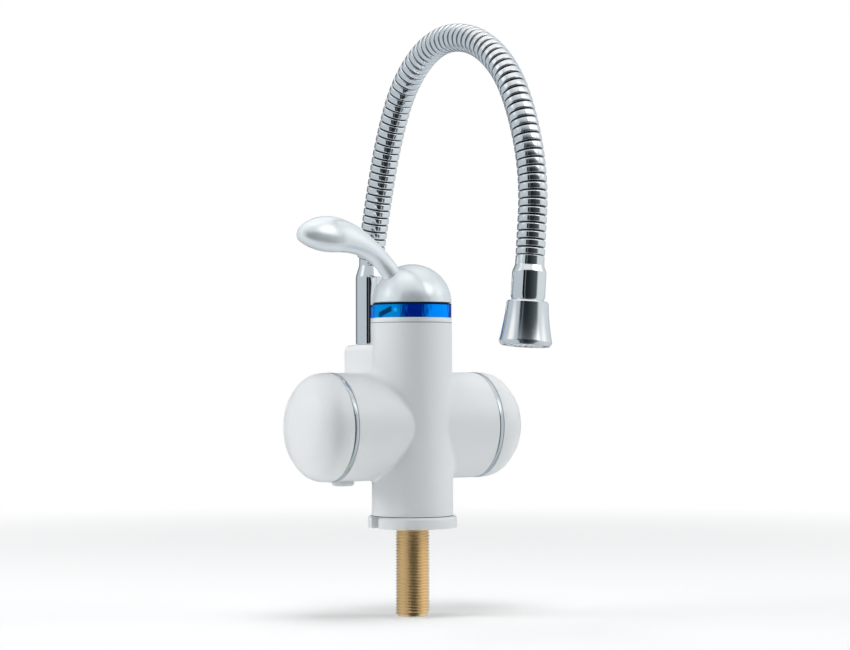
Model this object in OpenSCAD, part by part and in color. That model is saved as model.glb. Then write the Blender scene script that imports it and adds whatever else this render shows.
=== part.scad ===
// Electric instant water heater tap: an upright column with a mixing lever on top,
// a cross barrel that holds the heater, and a flexible metal gooseneck on a rear swivel.
// Millimetres, +Z up. The origin is on the column's axis, on the counter. +X runs along
// the barrel to the user's right, -Y faces the user.

/* [Column] */
// Outside radius of the column at its foot
column_foot_r = 24.9; // [24:0.1:27]
// Outside radius of the column at its top edge
column_top_r = 24.35; // [23.5:0.05:25]
// Height of the column's top edge above the counter
column_top_z = 124.5; // [122:0.1:140]
// Thickness of the moulded housing walls
wall = 2.4; // [2:0.1:3]

/* [Base] */
// Outside radius of the base ring
base_r = 27.1; // [27:0.1:32]
// Height of the base ring
base_h = 7; // [6:0.5:10]
// Width of the cable slot in the base ring
slot_w = 7.8; // [6:0.2:10]
// Outside radius of the threaded inlet shank
shank_r = 10.4; // [9:0.1:10.6]
// Radius of the water bore in the shank
shank_bore_r = 7; // [5:0.5:7.5]
// Length of the shank below the counter
shank_len = 54; // [40:1:80]

/* [Barrel] */
// Outside radius of the cross barrel
barrel_r = 32.9; // [32:0.1:36]
// Height of the barrel's axis above the counter
barrel_z = 61.3; // [58:0.1:66]
// Distance of the barrel's axis behind the column's axis
barrel_y = 11.25; // [9:0.05:13]
// Reach of the barrel to either side, up to its trim rings
barrel_reach = 50.3; // [48:0.1:60]
// Width of the visible band of a trim ring
ring_w = 3.3; // [2:0.1:5]
// Length of the left end cap
left_cap_len = 19.4; // [16:0.2:30]
// Length of the right end cap
right_cap_len = 21.2; // [16:0.2:30]
// Power of the rounded cap outline, where 2 is an ellipse
cap_power = 2.75; // [2:0.1:4]

/* [Rear boss and riser] */
// Distance of the spout's swivel axis behind the column's axis
boss_y = 49.2; // [48:0.1:54]
// Outside radius of the rear boss
boss_r = 16.3; // [15:0.1:18]
// Height of the top of the rear boss
boss_top_z = 111.6; // [108:0.1:118]
// Radius of the rounded rim of the boss
boss_round = 4.3; // [2:0.1:5]
// Outside radius of the visible riser
riser_r = 9.15; // [8.5:0.1:10]
// Length of the riser's straight part above the boss
riser_len = 43; // [30:1:60]
// Outside radius of the riser's neck
riser_neck_r = 7; // [6.5:0.1:8]
// Radius of the riser's waterway
water_r = 4.5; // [3:0.1:5]

/* [Gooseneck] */
// Rest angle of the spout, turned about the riser
spout_turn = 3; // [-20:1:20]
// Angle by which the gooseneck leaves the riser leaning forward
neck_lean = 14.1; // [0:0.1:20]
// Bend of each of the eight lengths of gooseneck, in degrees
neck_bends = [3.3, 10.4, 28.2, 38.1, 30.5, 27.7, 16.3, 10.6]; // [0:0.1:45]
// Sideways bends of the last two lengths of gooseneck, in degrees
neck_side = [-1.4, 6.3]; // [-8:0.1:8]
// Distance from one rib to the next
rib_pitch = 4.63; // [4:0.01:5.5]
// Outside radius of the ribs
rib_r = 8.35; // [7.8:0.05:9]
// Radius at the bottom of the grooves between ribs
groove_r = 7.2; // [6.6:0.05:7.5]
// Radius of the gooseneck's bore
neck_bore_r = 5.6; // [4.5:0.1:6]

/* [Nozzle] */
// Outside radius of the cuff on the gooseneck's end
cuff_r = 8.4; // [8:0.1:9]
// Outside radius of the nozzle's grip
grip_r = 9.8; // [9.2:0.1:11]
// Distance from the gooseneck's end to the top of the bell
grip_len = 26; // [20:0.5:32]
// Outside radius at the top of the bell
bell_top_r = 12; // [11:0.1:14]
// Outside radius at the rim of the bell
bell_rim_r = 15.2; // [14:0.1:18]
// Length of the bell down to its widest point
bell_len = 23.2; // [18:0.2:30]

/* [Handle] */
// Outside radius of the dome at its foot
dome_r = 24.1; // [23:0.1:24.4]
// Height of the dome
dome_h = 22.75; // [20:0.05:26]
// Distance of the lever's tip from the column's axis
lever_reach = 81.2; // [65:0.1:95]
// Greatest width of the lever's paddle
lever_w = 23; // [16:0.5:30]

/* [Trim] */
// Height of the satin collar ring
collar_h = 3.3; // [2:0.1:5]
// Height of the translucent light ring
light_h = 7.9; // [5:0.1:10]
// Height of the dark gap under the dome
gap_h = 1.2; // [0.8:0.1:2]

/* [Hidden] */

$fn = 64;
// Clearance between pieces of the same body that slide together in assembly
fit_gap = 0.1;
// Radial clearance of a shaft that turns or slides in its bore
run_gap = 0.05;
// Clearance between faces of pieces that move past each other
move_gap = 0.3;
// Overlap that joins two shapes of one solid
join = 0.5;

// Inner radius of the column and of the barrel
column_in_r = column_foot_r - wall - 0.2;
barrel_in_r = barrel_r - wall - 0.1;
// Radius of the bore at the column's top
column_mouth_r = column_in_r - 0.8;
column_mouth_z = column_top_z - 13;

// Base ring: height of the recess for the seal, and the rings on either side of it
seal_h = 1.8;
seal_in_r = column_foot_r - 2.6;
seal_out_r = base_r - 1.4;
base_round = 1.6;
spigot_h = 2.2;
spigot_w = 2.2;
web_z = 2.6;
shank_top_r = shank_r - 0.5;
shank_chamfer = 1.4;
// Narrower bore above the seat of the inlet filter, and how far the seat lies below the counter
filter_bore_r = shank_bore_r - 1.5;
filter_depth = 3;
socket_depth = 13;

// Screws that hold the base ring to the housing
base_screw_angles = [0, 120, 240];
base_screw_ring_r = column_in_r - 3.2;
base_screw_r = 1.5;
base_screw_head_r = 2.6;
base_screw_head_h = 1.8;
base_screw_len = 18;
screw_boss_r = 3.4;
screw_boss_h = 15;

// Valve body and the ceramic cartridge in it
valve_r = 15;
valve_cup_r = 19;
valve_cup_in_r = 16.6;
valve_cup_z = column_top_z - 33;
cartridge_floor_z = valve_cup_z + 3;
port_r = 6;
port_bore_r = 3.5;
port_offset = 6;
gasket_h = 2;
disc_h = 3;
disc_r = 13;
disc_hole_r = 2.6;
cartridge_r = valve_cup_in_r - fit_gap;
cartridge_in_r = disc_r + fit_gap;
cartridge_neck_r = 9;
cartridge_plate_h = 4;
cartridge_nut_h = 7;
spindle_r = 6;
spindle_top_r = 5;
spindle_flange_r = 12;
spindle_flange_h = 3;
disc_z = cartridge_floor_z + gasket_h;
moving_z = disc_z + disc_h + run_gap;
spindle_z = moving_z + disc_h;
cartridge_shell_h = spindle_z + spindle_flange_h + run_gap - disc_z + cartridge_plate_h;
valve_top_z = disc_z + cartridge_shell_h + cartridge_nut_h;

// Rings between the column and the dome
collar_z = column_top_z;
light_z = collar_z + collar_h;
glide_z = light_z + light_h;
glide_h = gap_h - 0.25;
dome_z = glide_z + gap_h;
dome_top_z = dome_z + dome_h;
ring_r = column_top_r - 0.15;
light_r = column_top_r - 0.25;
light_wall = 2.6;
board_h = 1.5;
lamp_count = 8;
lamp_r = 1.6;
lamp_h = 2.4;

// Handle
dome_wall = 2.6;
hub_r = 8.2;
hub_gap = 1.2;
spindle_end_z = dome_z + 14;
grub_r = 2;
grub_len = 6;
grub_z = dome_z + 5.5;

// Heater in the left half of the barrel
heater_r = 24;
heater_wall = 1.5;
heater_right = valve_r + 3.5;
heater_left = barrel_reach - 1.3;
cover_t = 3.5;
ring_in_r = barrel_in_r - 2.4;
ring_spigot = 3;
pipe_r = 4;
pipe_bore_r = 2.8;
pipe_y = valve_r + pipe_r + move_gap;
element_r = 3;
element_pitch = 17;
element_leg_y = 8;
element_bend_x = heater_left - heater_right - heater_wall - element_pitch / 2
  - element_r - 1.5;
terminal_len = 5;
cutout_r = 7;
cutout_h = 5;
rib_t = 3;
shelf_angles = [90, 210, 330];

// Swivel socket in the rear boss
boss_bottom_z = barrel_z - 12;
bush_r = boss_r - 5.3;
bush_top_z = boss_top_z - 5;
bush_bottom_z = barrel_z + 6;
bush_floor_z = barrel_z - 6;
spigot_r = 7;
clip_h = 1.2;
clip_r = spigot_r + 2.4;
clip_z = bush_bottom_z - move_gap - clip_h;
riser_z = boss_top_z + move_gap;
shoulder_z = boss_top_z + riser_len;
shoulder_h = 7.3;
riser_neck_len = 3.9;
neck_z = shoulder_z + shoulder_h + riser_neck_len;
seal_wire_r = 1.1;
seal_heights = [16, 26];

// Flow switch and electronics in the right half of the barrel
switch_r = 13;
switch_x = valve_r + 3;
switch_w = 9;
diaphragm_x = switch_x + 4;
diaphragm_h = 1;
plunger_x = diaphragm_x + diaphragm_h + run_gap;
plunger_r = 2.5;
plunger_head_r = 8;
plunger_head_h = 1.8;
plunger_len = 9;
plunger_travel = 1.5;
cap_plate = 2;
cap_x = diaphragm_x + diaphragm_h;
micro_x = plunger_x + plunger_len + plunger_travel + 0.1;
micro_size = [6.6, 8, 14];
micro_hole_r = 1.1;
micro_hole_z = 4.5;
board_t = 1.6;
board_y = barrel_y + 20.4;
board_size = [28, 36];
board_x = 19;
post_r = 2.2;
peg_r = 0.9;
post_places = [[board_x + 3, 15], [board_x + board_size[0] - 3, -15]];
relay_size = [11, 6, 15];
capacitor_r = 3.2;
capacitor_h = 12;
block_size = [15, 10, 10];

// Drain plug under the left half of the barrel
plug_x = barrel_reach - 7.6;
plug_r = 6.75;
plug_stem_r = 4.2;
plug_drop = 2.6;

// Gooseneck path, in half steps of a rib
ribs_straight = 5;
ribs_bend = 8;
lengths = len(neck_bends);
half_steps = 2 * (2 * ribs_straight + lengths * ribs_bend);
half_pitch = rib_pitch / 2;
neck_sides = 8;
joint_gap = 0.9;
// An eight sided ring keeps about the area of the round one with its corners a little out
ring_scale = 1.04;

// Total bend and sideways bend up to a number of half steps from the riser
function bend_share(i, k) = min(max((i / 2 - ribs_straight - k * ribs_bend) / ribs_bend, 0), 1);
function bend_at(i) = neck_lean
  + sum_of([for (k = [0 : lengths - 1]) neck_bends[k] * bend_share(i, k)]);
function side_at(i) = neck_side[0] * bend_share(i, lengths - 2)
  + neck_side[1] * bend_share(i, lengths - 1);
function sum_of(v, i = 0) = i < len(v) ? v[i] + sum_of(v, i + 1) : 0;
function heading(i) = [
  -sin(side_at(i)),
  -cos(side_at(i)) * sin(bend_at(i)),
  cos(side_at(i)) * cos(bend_at(i))];
neck_points = [for (i = 0, p = [0, 0, neck_z]; i <= half_steps;
  p = p + half_pitch * heading(i + 0.5), i = i + 1) p];
neck_end = neck_points[half_steps];
end_heading = heading(half_steps);

// Half step at which a length of the gooseneck starts, counted from one
function start_step(k) = k == 1 ? 0 : 2 * (ribs_straight + (k - 1) * ribs_bend);
function end_step(k) = k == lengths ? half_steps : start_step(k + 1);

// Ring of points about a place on the path
function ring_at(p, d, r) = [for (j = [0 : neck_sides - 1])
  let (u = [1, 0, 0] - d[0] * d, v = cross(d, u), a = (j + 0.5) * 360 / neck_sides)
  p + r * ring_scale * (cos(a) * u / norm(u) + sin(a) * v / norm(u))];

// Handle lever: an oval section carried along a curve from inside the dome to the tip
lever_spine = [
  [-0.083 * lever_reach, 4.8],
  [-0.324 * lever_reach, 39.9],
  [-0.6 * lever_reach, 42.3],
  [-lever_reach, 39.7]];
lever_sides = 28;
stem_sections = 14;
tip_sections = 9;
stem_half_depth = 5.7;
paddle_half_depth = 11.85;
stem_half_w = 5.8;
tip_start = 0.64;

function blend(a, b, t) = a + (b - a) * t;
function smooth(t) = let (u = min(1, max(0, t))) u * u * (3 - 2 * u);
function bezier(p, t) = p[0] * pow(1 - t, 3) + 3 * p[1] * t * pow(1 - t, 2)
  + 3 * p[2] * t * t * (1 - t) + p[3] * pow(t, 3);
function bezier_slope(p, t) = (p[1] - p[0]) * pow(1 - t, 2)
  + 2 * (p[2] - p[1]) * t * (1 - t) + (p[3] - p[2]) * t * t;

module ring(r_out, r_in, h) {
  difference() {
    cylinder(r = r_out, h = h);
    translate([0, 0, -1])
      cylinder(r = r_in, h = h + 2);
  }
}

module along_x(x, y = barrel_y, z = barrel_z) {
  translate([x, y, z])
    rotate([0, 90, 0])
      children();
}

module housing_outside() {
  translate([0, 0, base_h])
    cylinder(r1 = column_foot_r, r2 = column_top_r, h = column_top_z - base_h);
  along_x(-barrel_reach)
    cylinder(r = barrel_r, h = 2 * barrel_reach);
  rear_boss();
}

// Upright round ended web that carries the swivel behind the column
module rear_boss() {
  inset = boss_r - boss_round;
  core_h = boss_top_z - boss_bottom_z;
  hull($fn = 32) {
    translate([0, boss_y, boss_bottom_z])
      boss_button(boss_r, core_h);
    translate([0, 12, boss_bottom_z])
      boss_button(boss_r + 3, core_h);
  }
}

module boss_button(r, h) {
  translate([0, 0, boss_round])
    cylinder(r = r, h = h - 2 * boss_round);
  for (side = [0, 1])
    translate([0, 0, side == 0 ? boss_round : h - boss_round])
      rotate_extrude()
        translate([r - boss_round, 0])
          circle(r = boss_round, $fn = 24);
}

module housing() {
  color("white")
    difference() {
      union() {
        difference() {
          housing_outside();
          translate([0, 0, base_h - 1])
            cylinder(r = column_in_r, h = column_mouth_z - base_h + 1);
          cylinder(r = column_mouth_r, h = column_top_z + 1);
          along_x(-barrel_reach - 1)
            cylinder(r = barrel_in_r, h = 2 * barrel_reach + 2);
        }
        housing_shelves();
        housing_posts();
        housing_screw_bosses();
      }
      boss_bores();
      translate([-plug_x, barrel_y, barrel_z - barrel_r - 1])
        cylinder(r = plug_stem_r + fit_gap, h = wall + 4);
      for (a = base_screw_angles)
        rotate(a)
          translate([base_screw_ring_r, 0, base_h])
            cylinder(r = base_screw_r, h = base_screw_len - 2);
    }
}

module boss_bores() {
  translate([0, boss_y, bush_floor_z])
    cylinder(r = bush_r + fit_gap, h = bush_top_z - bush_floor_z);
  translate([0, boss_y, bush_floor_z])
    cylinder(r = spigot_r + 0.6, h = boss_top_z - bush_floor_z + 1);
  translate([0, pipe_y, barrel_z])
    rotate([-90, 0, 0])
      cylinder(r = pipe_r + fit_gap, h = boss_y - pipe_y);
}

// Ribs that hold the heater chamber in the left half of the barrel
module housing_shelves() {
  shelf_len = 26;
  for (a = shelf_angles)
    translate([-heater_left + 4, barrel_y, barrel_z])
      rotate([a, 0, 0])
        translate([0, heater_r + fit_gap, -rib_t / 2])
          cube([shelf_len, barrel_in_r - heater_r + join, rib_t]);
}

// Posts that carry the circuit board on pegs
module housing_posts() {
  for (p = post_places)
    translate([p[0], board_y, barrel_z + p[1]])
      rotate([-90, 0, 0]) {
        cylinder(r = post_r,
          h = sqrt(pow(barrel_r - 1, 2) - pow(p[1], 2)) + barrel_y - board_y);
        translate([0, 0, -board_t - 1.4])
          cylinder(r = peg_r, h = board_t + 3);
      }
}

// Bosses inside the column's foot that take the base screws
module housing_screw_bosses() {
  intersection() {
    for (a = base_screw_angles)
      rotate(a)
        translate([base_screw_ring_r, 0, base_h + spigot_h + move_gap])
          cylinder(r = screw_boss_r, h = screw_boss_h);
    cylinder(r = column_in_r + 1, h = column_top_z);
  }
}

module base_profile() {
  steps = 6;
  polygon(concat(
    [[shank_top_r + fit_gap, web_z], [seal_in_r - 0.1, web_z], [seal_in_r - 0.1, 0],
     [seal_in_r, 0], [seal_in_r, seal_h], [seal_out_r, seal_h], [seal_out_r, 0], [base_r, 0]],
    [for (i = [0 : steps])
      [base_r - base_round + base_round * cos(90 * i / steps),
       base_h - base_round + base_round * sin(90 * i / steps)]],
    [[column_in_r - fit_gap, base_h], [column_in_r - fit_gap, base_h + spigot_h],
     [column_in_r - spigot_w, base_h + spigot_h], [column_in_r - spigot_w, base_h],
     [shank_top_r + fit_gap, base_h]]));
}

module cable_slot() {
  translate([-base_r - 1, -slot_w / 2, -1])
    cube([base_r - shank_r - 4, slot_w, base_h + spigot_h + 2]);
}

module base_ring() {
  color("white")
    difference() {
      rotate_extrude()
        base_profile();
      cable_slot();
      for (a = base_screw_angles)
        rotate(a)
          translate([base_screw_ring_r, 0, 0]) {
            translate([0, 0, -1])
              cylinder(r = base_screw_r + fit_gap, h = base_h + spigot_h + 2);
            translate([0, 0, -1])
              cylinder(r = base_screw_head_r + 0.2, h = web_z + base_screw_head_h + 1);
          }
    }
}

module base_seal() {
  color("dimgray")
    difference() {
      ring(seal_out_r - fit_gap, seal_in_r + fit_gap, seal_h);
      cable_slot();
    }
}

module base_screws() {
  color("silver")
    for (a = base_screw_angles)
      rotate(a)
        translate([base_screw_ring_r, 0, web_z])
          difference() {
            union() {
              cylinder(r = base_screw_head_r, h = base_screw_head_h);
              cylinder(r = base_screw_r - 0.02, h = base_screw_len);
            }
            translate([0, 0, -1])
              cylinder(r = 1.1, h = 1.9, $fn = 6);
          }
}

module inlet_shank() {
  color("goldenrod")
    rotate_extrude()
      polygon([
        [shank_bore_r, -shank_len],
        [shank_r - shank_chamfer, -shank_len],
        [shank_r, -shank_len + shank_chamfer],
        [shank_r, web_z],
        [shank_top_r, web_z],
        [shank_top_r, base_h + socket_depth],
        [filter_bore_r, base_h + socket_depth],
        [filter_bore_r, -filter_depth],
        [shank_bore_r, -filter_depth]]);
}

module valve_body() {
  color("darkgoldenrod")
    difference() {
      union() {
        translate([0, 0, base_h])
          cylinder(r = valve_r, h = valve_cup_z - base_h + join);
        translate([0, 0, valve_cup_z])
          cylinder(r = valve_cup_r, h = valve_top_z - valve_cup_z);
        along_x(-heater_right, 0)
          cylinder(r = port_r, h = heater_right);
        along_x(0, 0)
          cylinder(r = port_r, h = switch_x);
      }
      translate([0, 0, base_h - 1])
        cylinder(r = shank_top_r + run_gap, h = socket_depth + 1);
      translate([0, 0, cartridge_floor_z])
        cylinder(r = valve_cup_in_r, h = valve_top_z);
      translate([0, 0, base_h + socket_depth - join])
        cylinder(r = shank_top_r - 1, h = 3);
      translate([port_offset, 0, base_h + socket_depth])
        cylinder(r = port_bore_r, h = cartridge_floor_z - base_h - socket_depth + 1);
      translate([-port_offset, 0, barrel_z])
        cylinder(r = port_bore_r, h = cartridge_floor_z - barrel_z + 1);
      along_x(-heater_right - 1, 0)
        cylinder(r = port_bore_r, h = heater_right + 1 - port_offset);
      along_x(port_offset, 0)
        cylinder(r = port_bore_r, h = switch_x);
    }
}

module disc_with_ports(r, h) {
  difference() {
    cylinder(r = r, h = h);
    for (side = [-1, 1])
      translate([side * port_offset, 0, -1])
        cylinder(r = disc_hole_r, h = h + 2);
  }
}

module cartridge_gasket() {
  color("black")
    translate([0, 0, cartridge_floor_z])
      disc_with_ports(cartridge_r, gasket_h);
}

module fixed_disc() {
  color("ivory")
    translate([0, 0, disc_z])
      disc_with_ports(disc_r, disc_h);
}

module cartridge_body() {
  color("lightgray")
    translate([0, 0, disc_z])
      difference() {
        union() {
          cylinder(r = cartridge_r, h = cartridge_shell_h);
          cylinder(r = cartridge_neck_r, h = cartridge_shell_h + cartridge_nut_h);
        }
        translate([0, 0, -1])
          cylinder(r = cartridge_in_r, h = cartridge_shell_h - cartridge_plate_h + 1);
        cylinder(r = spindle_r + run_gap, h = cartridge_shell_h + cartridge_nut_h + 1);
      }
}

module cartridge_nut() {
  color("goldenrod")
    translate([0, 0, disc_z + cartridge_shell_h])
      difference() {
        cylinder(r = cartridge_r, h = cartridge_nut_h);
        translate([0, 0, -1])
          cylinder(r = cartridge_neck_r + fit_gap, h = cartridge_nut_h + 2);
        for (a = [0, 90, 180, 270])
          rotate(a)
            translate([cartridge_r - 3, -1.5, cartridge_nut_h - 2.5])
              cube([4, 3, 3]);
      }
}

module heater_chamber() {
  color("silver")
    difference() {
      along_x(-heater_left)
        cylinder(r = heater_r, h = heater_left - heater_right);
      along_x(-heater_left - 1)
        cylinder(r = heater_r - heater_wall, h = heater_left - heater_right - heater_wall + 1);
      along_x(-heater_right - 3, 0)
        cylinder(r = port_bore_r, h = 5);
      along_x(-heater_right - 3, pipe_y)
        cylinder(r = pipe_bore_r, h = 5);
    }
}

module heater_cover() {
  color("gray")
    along_x(-heater_left)
      mirror([0, 0, 1])
        difference() {
          cylinder(r = ring_in_r - fit_gap, h = cover_t);
          heater_groove();
          element_legs(element_r + run_gap);
        }
}

module heater_groove() {
  translate([0, 0, -1])
    ring(heater_r + 0.4, heater_r - heater_wall - 0.6, 2.2);
}

module heater_seal() {
  color("firebrick")
    along_x(-heater_left)
      mirror([0, 0, 1])
        ring(heater_r + 0.3, heater_r - heater_wall - 0.5, 1.15);
}

// Straight legs of the two hairpins, drawn along the barrel
module element_legs(r) {
  for (y = [-1, 1], z = [-1, 1])
    translate([z * element_pitch / 2, y * element_leg_y, -element_bend_x])
      cylinder(r = r, h = element_bend_x + cover_t + terminal_len);
}

module heating_element() {
  color("sienna")
    along_x(-heater_left)
      mirror([0, 0, 1]) {
        element_legs(element_r);
        for (y = [-1, 1])
          translate([0, y * element_leg_y, -element_bend_x])
            rotate([90, 0, 0])
              rotate_extrude(angle = -180)
                translate([element_pitch / 2, 0])
                  circle(r = element_r);
      }
}

module thermal_cutout() {
  color("gainsboro")
    along_x(-heater_left - cover_t)
      mirror([0, 0, 1]) {
        cylinder(r = cutout_r - 3.4, h = cutout_h);
        translate([0, 0, cutout_h - 2])
          cylinder(r = cutout_r - 2.6, h = 2);
        translate([-1.5, -4.2, 0])
          cube([3, 8.4, 1]);
      }
}

module outlet_pipe() {
  color("peru")
    difference() {
      pipe_route(pipe_r, 0);
      pipe_route(pipe_bore_r, 1);
    }
}

module pipe_route(r, over) {
  along_x(-heater_right - over, pipe_y)
    cylinder(r = r, h = heater_right + over);
  translate([0, pipe_y, barrel_z]) {
    sphere(r = r);
    rotate([-90, 0, 0])
      cylinder(r = r, h = boss_y - bush_r - pipe_y - fit_gap + over);
  }
}

module spout_socket() {
  color("goldenrod")
    translate([0, boss_y, 0])
      difference() {
        translate([0, 0, bush_floor_z])
          cylinder(r = bush_r, h = bush_top_z - bush_floor_z);
        translate([0, 0, bush_bottom_z - 1])
          cylinder(r = spigot_r + run_gap, h = bush_top_z);
        translate([0, 0, bush_floor_z + 2])
          cylinder(r = clip_r + 0.5, h = bush_bottom_z - bush_floor_z - 2);
        translate([0, -bush_r - 1, barrel_z])
          rotate([-90, 0, 0])
            cylinder(r = pipe_bore_r, h = bush_r);
      }
}

module flow_switch_body() {
  color("darkslategray")
    along_x(switch_x, 0)
      difference() {
        cylinder(r = switch_r, h = diaphragm_x - switch_x);
        translate([0, 0, 1.5])
          cylinder(r = switch_r - 2, h = 6);
        translate([0, 0, -1])
          cylinder(r = port_bore_r, h = 5);
      }
}

module diaphragm() {
  color("black")
    along_x(diaphragm_x, 0)
      cylinder(r = switch_r, h = diaphragm_h);
}

// Cap over the diaphragm, with the bracket that carries the microswitch on two pins
module flow_switch_cap() {
  bracket_t = 2;
  bracket_x = plunger_len - cap_plate;
  color("slategray")
    along_x(cap_x, 0) {
      difference() {
        cylinder(r = switch_r, h = plunger_len - cap_plate);
        translate([0, 0, -1])
          cylinder(r = plunger_head_r + 0.4, h = plunger_len - 2 * cap_plate + 1);
        translate([0, 0, -1])
          cylinder(r = plunger_r + run_gap, h = plunger_len + 2);
      }
      translate([-micro_size[2] / 2, micro_size[1] / 2 + fit_gap, bracket_x - join])
        cube([micro_size[2], bracket_t, micro_x + micro_size[0] - cap_x - bracket_x + join]);
      for (side = [-1, 1])
        translate([side * micro_hole_z, micro_size[1] / 2 + fit_gap + join, micro_x - cap_x
            + micro_size[0] / 2])
          rotate([90, 0, 0])
            cylinder(r = micro_hole_r - fit_gap, h = micro_size[1]);
    }
}

module flow_plunger() {
  color("white")
    along_x(plunger_x, 0) {
      cylinder(r = plunger_head_r, h = plunger_head_h);
      cylinder(r = plunger_r, h = plunger_len);
    }
}

module microswitch() {
  color("dimgray")
    translate([micro_x, -micro_size[1] / 2, barrel_z])
      difference() {
        translate([0, 0, -micro_size[2] / 2])
          cube(micro_size);
        for (side = [-1, 1])
          translate([micro_size[0] / 2, -1, side * micro_hole_z])
            rotate([-90, 0, 0])
              cylinder(r = micro_hole_r, h = micro_size[1] + 2);
      }
}

module circuit_board() {
  color("seagreen")
    difference() {
      translate([board_x, board_y - board_t, barrel_z - board_size[1] / 2])
        cube([board_size[0], board_t, board_size[1]]);
      for (p = post_places)
        translate([p[0], board_y - board_t - 1, barrel_z + p[1]])
          rotate([-90, 0, 0])
            cylinder(r = peg_r + fit_gap, h = board_t + 2);
    }
}

module relay() {
  color("navy")
    translate([board_x + 7, board_y - board_t - relay_size[1], barrel_z - 4])
      cube(relay_size);
}

module capacitor() {
  color("black")
    translate([board_x + 23.5, board_y - board_t - capacitor_r, barrel_z - 2])
      cylinder(r = capacitor_r, h = capacitor_h);
}

module terminal_block() {
  color("whitesmoke")
    translate([board_x + 2, board_y - board_t - block_size[1], barrel_z - 17])
      difference() {
        cube(block_size);
        for (i = [0 : 2])
          translate([2.5 + 5 * i, 5, block_size[2] - 6])
            cylinder(r = 1.5, h = 7);
      }
}

// Trim ring between the barrel and an end cap, with a spigot into each
module trim_ring() {
  difference() {
    union() {
      cylinder(r = barrel_r + 0.1, h = ring_w);
      translate([0, 0, -ring_spigot])
        cylinder(r = barrel_in_r - fit_gap, h = ring_w + 2 * ring_spigot);
    }
    translate([0, 0, -ring_spigot - 1])
      cylinder(r = ring_in_r, h = ring_w + 2 * ring_spigot + 2);
  }
}

module left_trim_ring() {
  color("silver")
    along_x(-barrel_reach - ring_w)
      trim_ring();
}

module right_trim_ring() {
  color("silver")
    along_x(barrel_reach)
      trim_ring();
}

// End cap outline: radius falls from the rim to the centre of the face
function cap_points(length, r, steps) = [for (i = [0 : steps])
  [r * pow(cos(90 * i / steps), 2 / cap_power), length * pow(sin(90 * i / steps), 2 / cap_power)]];

module end_cap(length) {
  steps = 18;
  lip = ring_spigot + 0.2;
  inner = cap_points(length - wall - lip, barrel_in_r, steps);
  rotate_extrude()
    polygon(concat(
      cap_points(length, barrel_r, steps),
      [for (i = [steps : -1 : 0]) inner[i] + [0, lip]],
      [[barrel_in_r, 0]]));
}

module left_cap() {
  color("white")
    along_x(-barrel_reach - ring_w)
      mirror([0, 0, 1])
        end_cap(left_cap_len);
}

module right_cap() {
  color("white")
    along_x(barrel_reach + ring_w)
      end_cap(right_cap_len);
}

module drain_plug() {
  color("lightgray")
    translate([-plug_x, barrel_y, barrel_z - barrel_r]) {
      difference() {
        translate([0, 0, -plug_drop])
          rotate_extrude()
            polygon([[0, 0], [plug_r - 1.6, 0], [plug_r - 0.5, 0.5], [plug_r, 1.5],
              [plug_r, plug_drop + 1.5], [0, plug_drop + 1.5]]);
        translate([0, 0, barrel_r])
          rotate([0, 90, 0])
            cylinder(r = barrel_r, h = 4 * plug_r, center = true);
      }
      translate([0, 0, -1])
        cylinder(r = plug_stem_r, h = wall + 3);
    }
}

module collar_ring() {
  spigot = 4;
  color("silver")
    translate([0, 0, collar_z])
      difference() {
        union() {
          cylinder(r = ring_r, h = collar_h);
          translate([0, 0, -spigot])
            cylinder(r = column_mouth_r - fit_gap, h = spigot + join);
        }
        translate([0, 0, -spigot - 1])
          cylinder(r = column_mouth_r - 2, h = spigot + collar_h - 0.6);
        cylinder(r = hub_r + hub_gap + 5, h = collar_h + 1);
      }
}

module light_ring() {
  color("dodgerblue", 0.6)
    translate([0, 0, light_z])
      ring(light_r, light_r - light_wall, light_h);
}

module light_board() {
  color("darkgreen")
    translate([0, 0, light_z])
      difference() {
        union() {
          cylinder(r = light_r - light_wall - fit_gap, h = board_h);
          for (i = [0 : lamp_count - 1])
            rotate((i + 0.5) * 360 / lamp_count)
              translate([light_r - light_wall - lamp_r - 0.6, 0, 0])
                cylinder(r = lamp_r, h = board_h + lamp_h);
        }
        translate([0, 0, -1])
          cylinder(r = hub_r + hub_gap + 5, h = board_h + 2);
      }
}

module glide_ring() {
  color("black")
    translate([0, 0, glide_z])
      ring(light_r - 1.6, light_r - light_wall - 1.5, glide_h);
}

function dome_points(r, h, steps) =
  [for (i = [0 : steps]) [r * cos(90 * i / steps), h * sin(90 * i / steps)]];

function lever_depth(t) = blend(stem_half_depth, paddle_half_depth, smooth((t - 0.25) / 0.63));
function lever_half_w(t) = blend(stem_half_w, lever_w / 2, smooth((t - 0.2) / 0.52));
function lever_section(t, e) = let (
    c = bezier(lever_spine, t),
    d = bezier_slope(lever_spine, t),
    up = [-d[1], d[0]] / -norm(d))
  [for (j = [0 : lever_sides - 1]) let (g = 360 * j / lever_sides,
      n = lever_depth(t) * e * sin(g))
    [c[0] + n * up[0], lever_half_w(t) * e * cos(g), dome_z + c[1] + n * up[1]]];

// Sections of the stem and paddle, then those of the rounded tip
module lever() {
  stations = concat(
    [for (i = [0 : stem_sections - 1]) [tip_start * i / stem_sections, 1]],
    [for (i = [0 : tip_sections]) let (a = 87 * i / tip_sections)
      [blend(tip_start, 1, sin(a)), cos(a)]]);
  points = [for (s = stations) each lever_section(s[0], s[1])];
  n = lever_sides;
  last = (len(stations) - 1) * n;
  sides = [for (i = [0 : len(stations) - 2], j = [0 : n - 1])
    let (a = i * n + j, b = i * n + (j + 1) % n)
    each [[a, b, b + n], [a, b + n, a + n]]];
  caps = [[for (j = [n - 1 : -1 : 0]) j], [for (j = [0 : n - 1]) last + j]];
  polyhedron(points, concat(sides, caps), convexity = 4);
}

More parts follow.
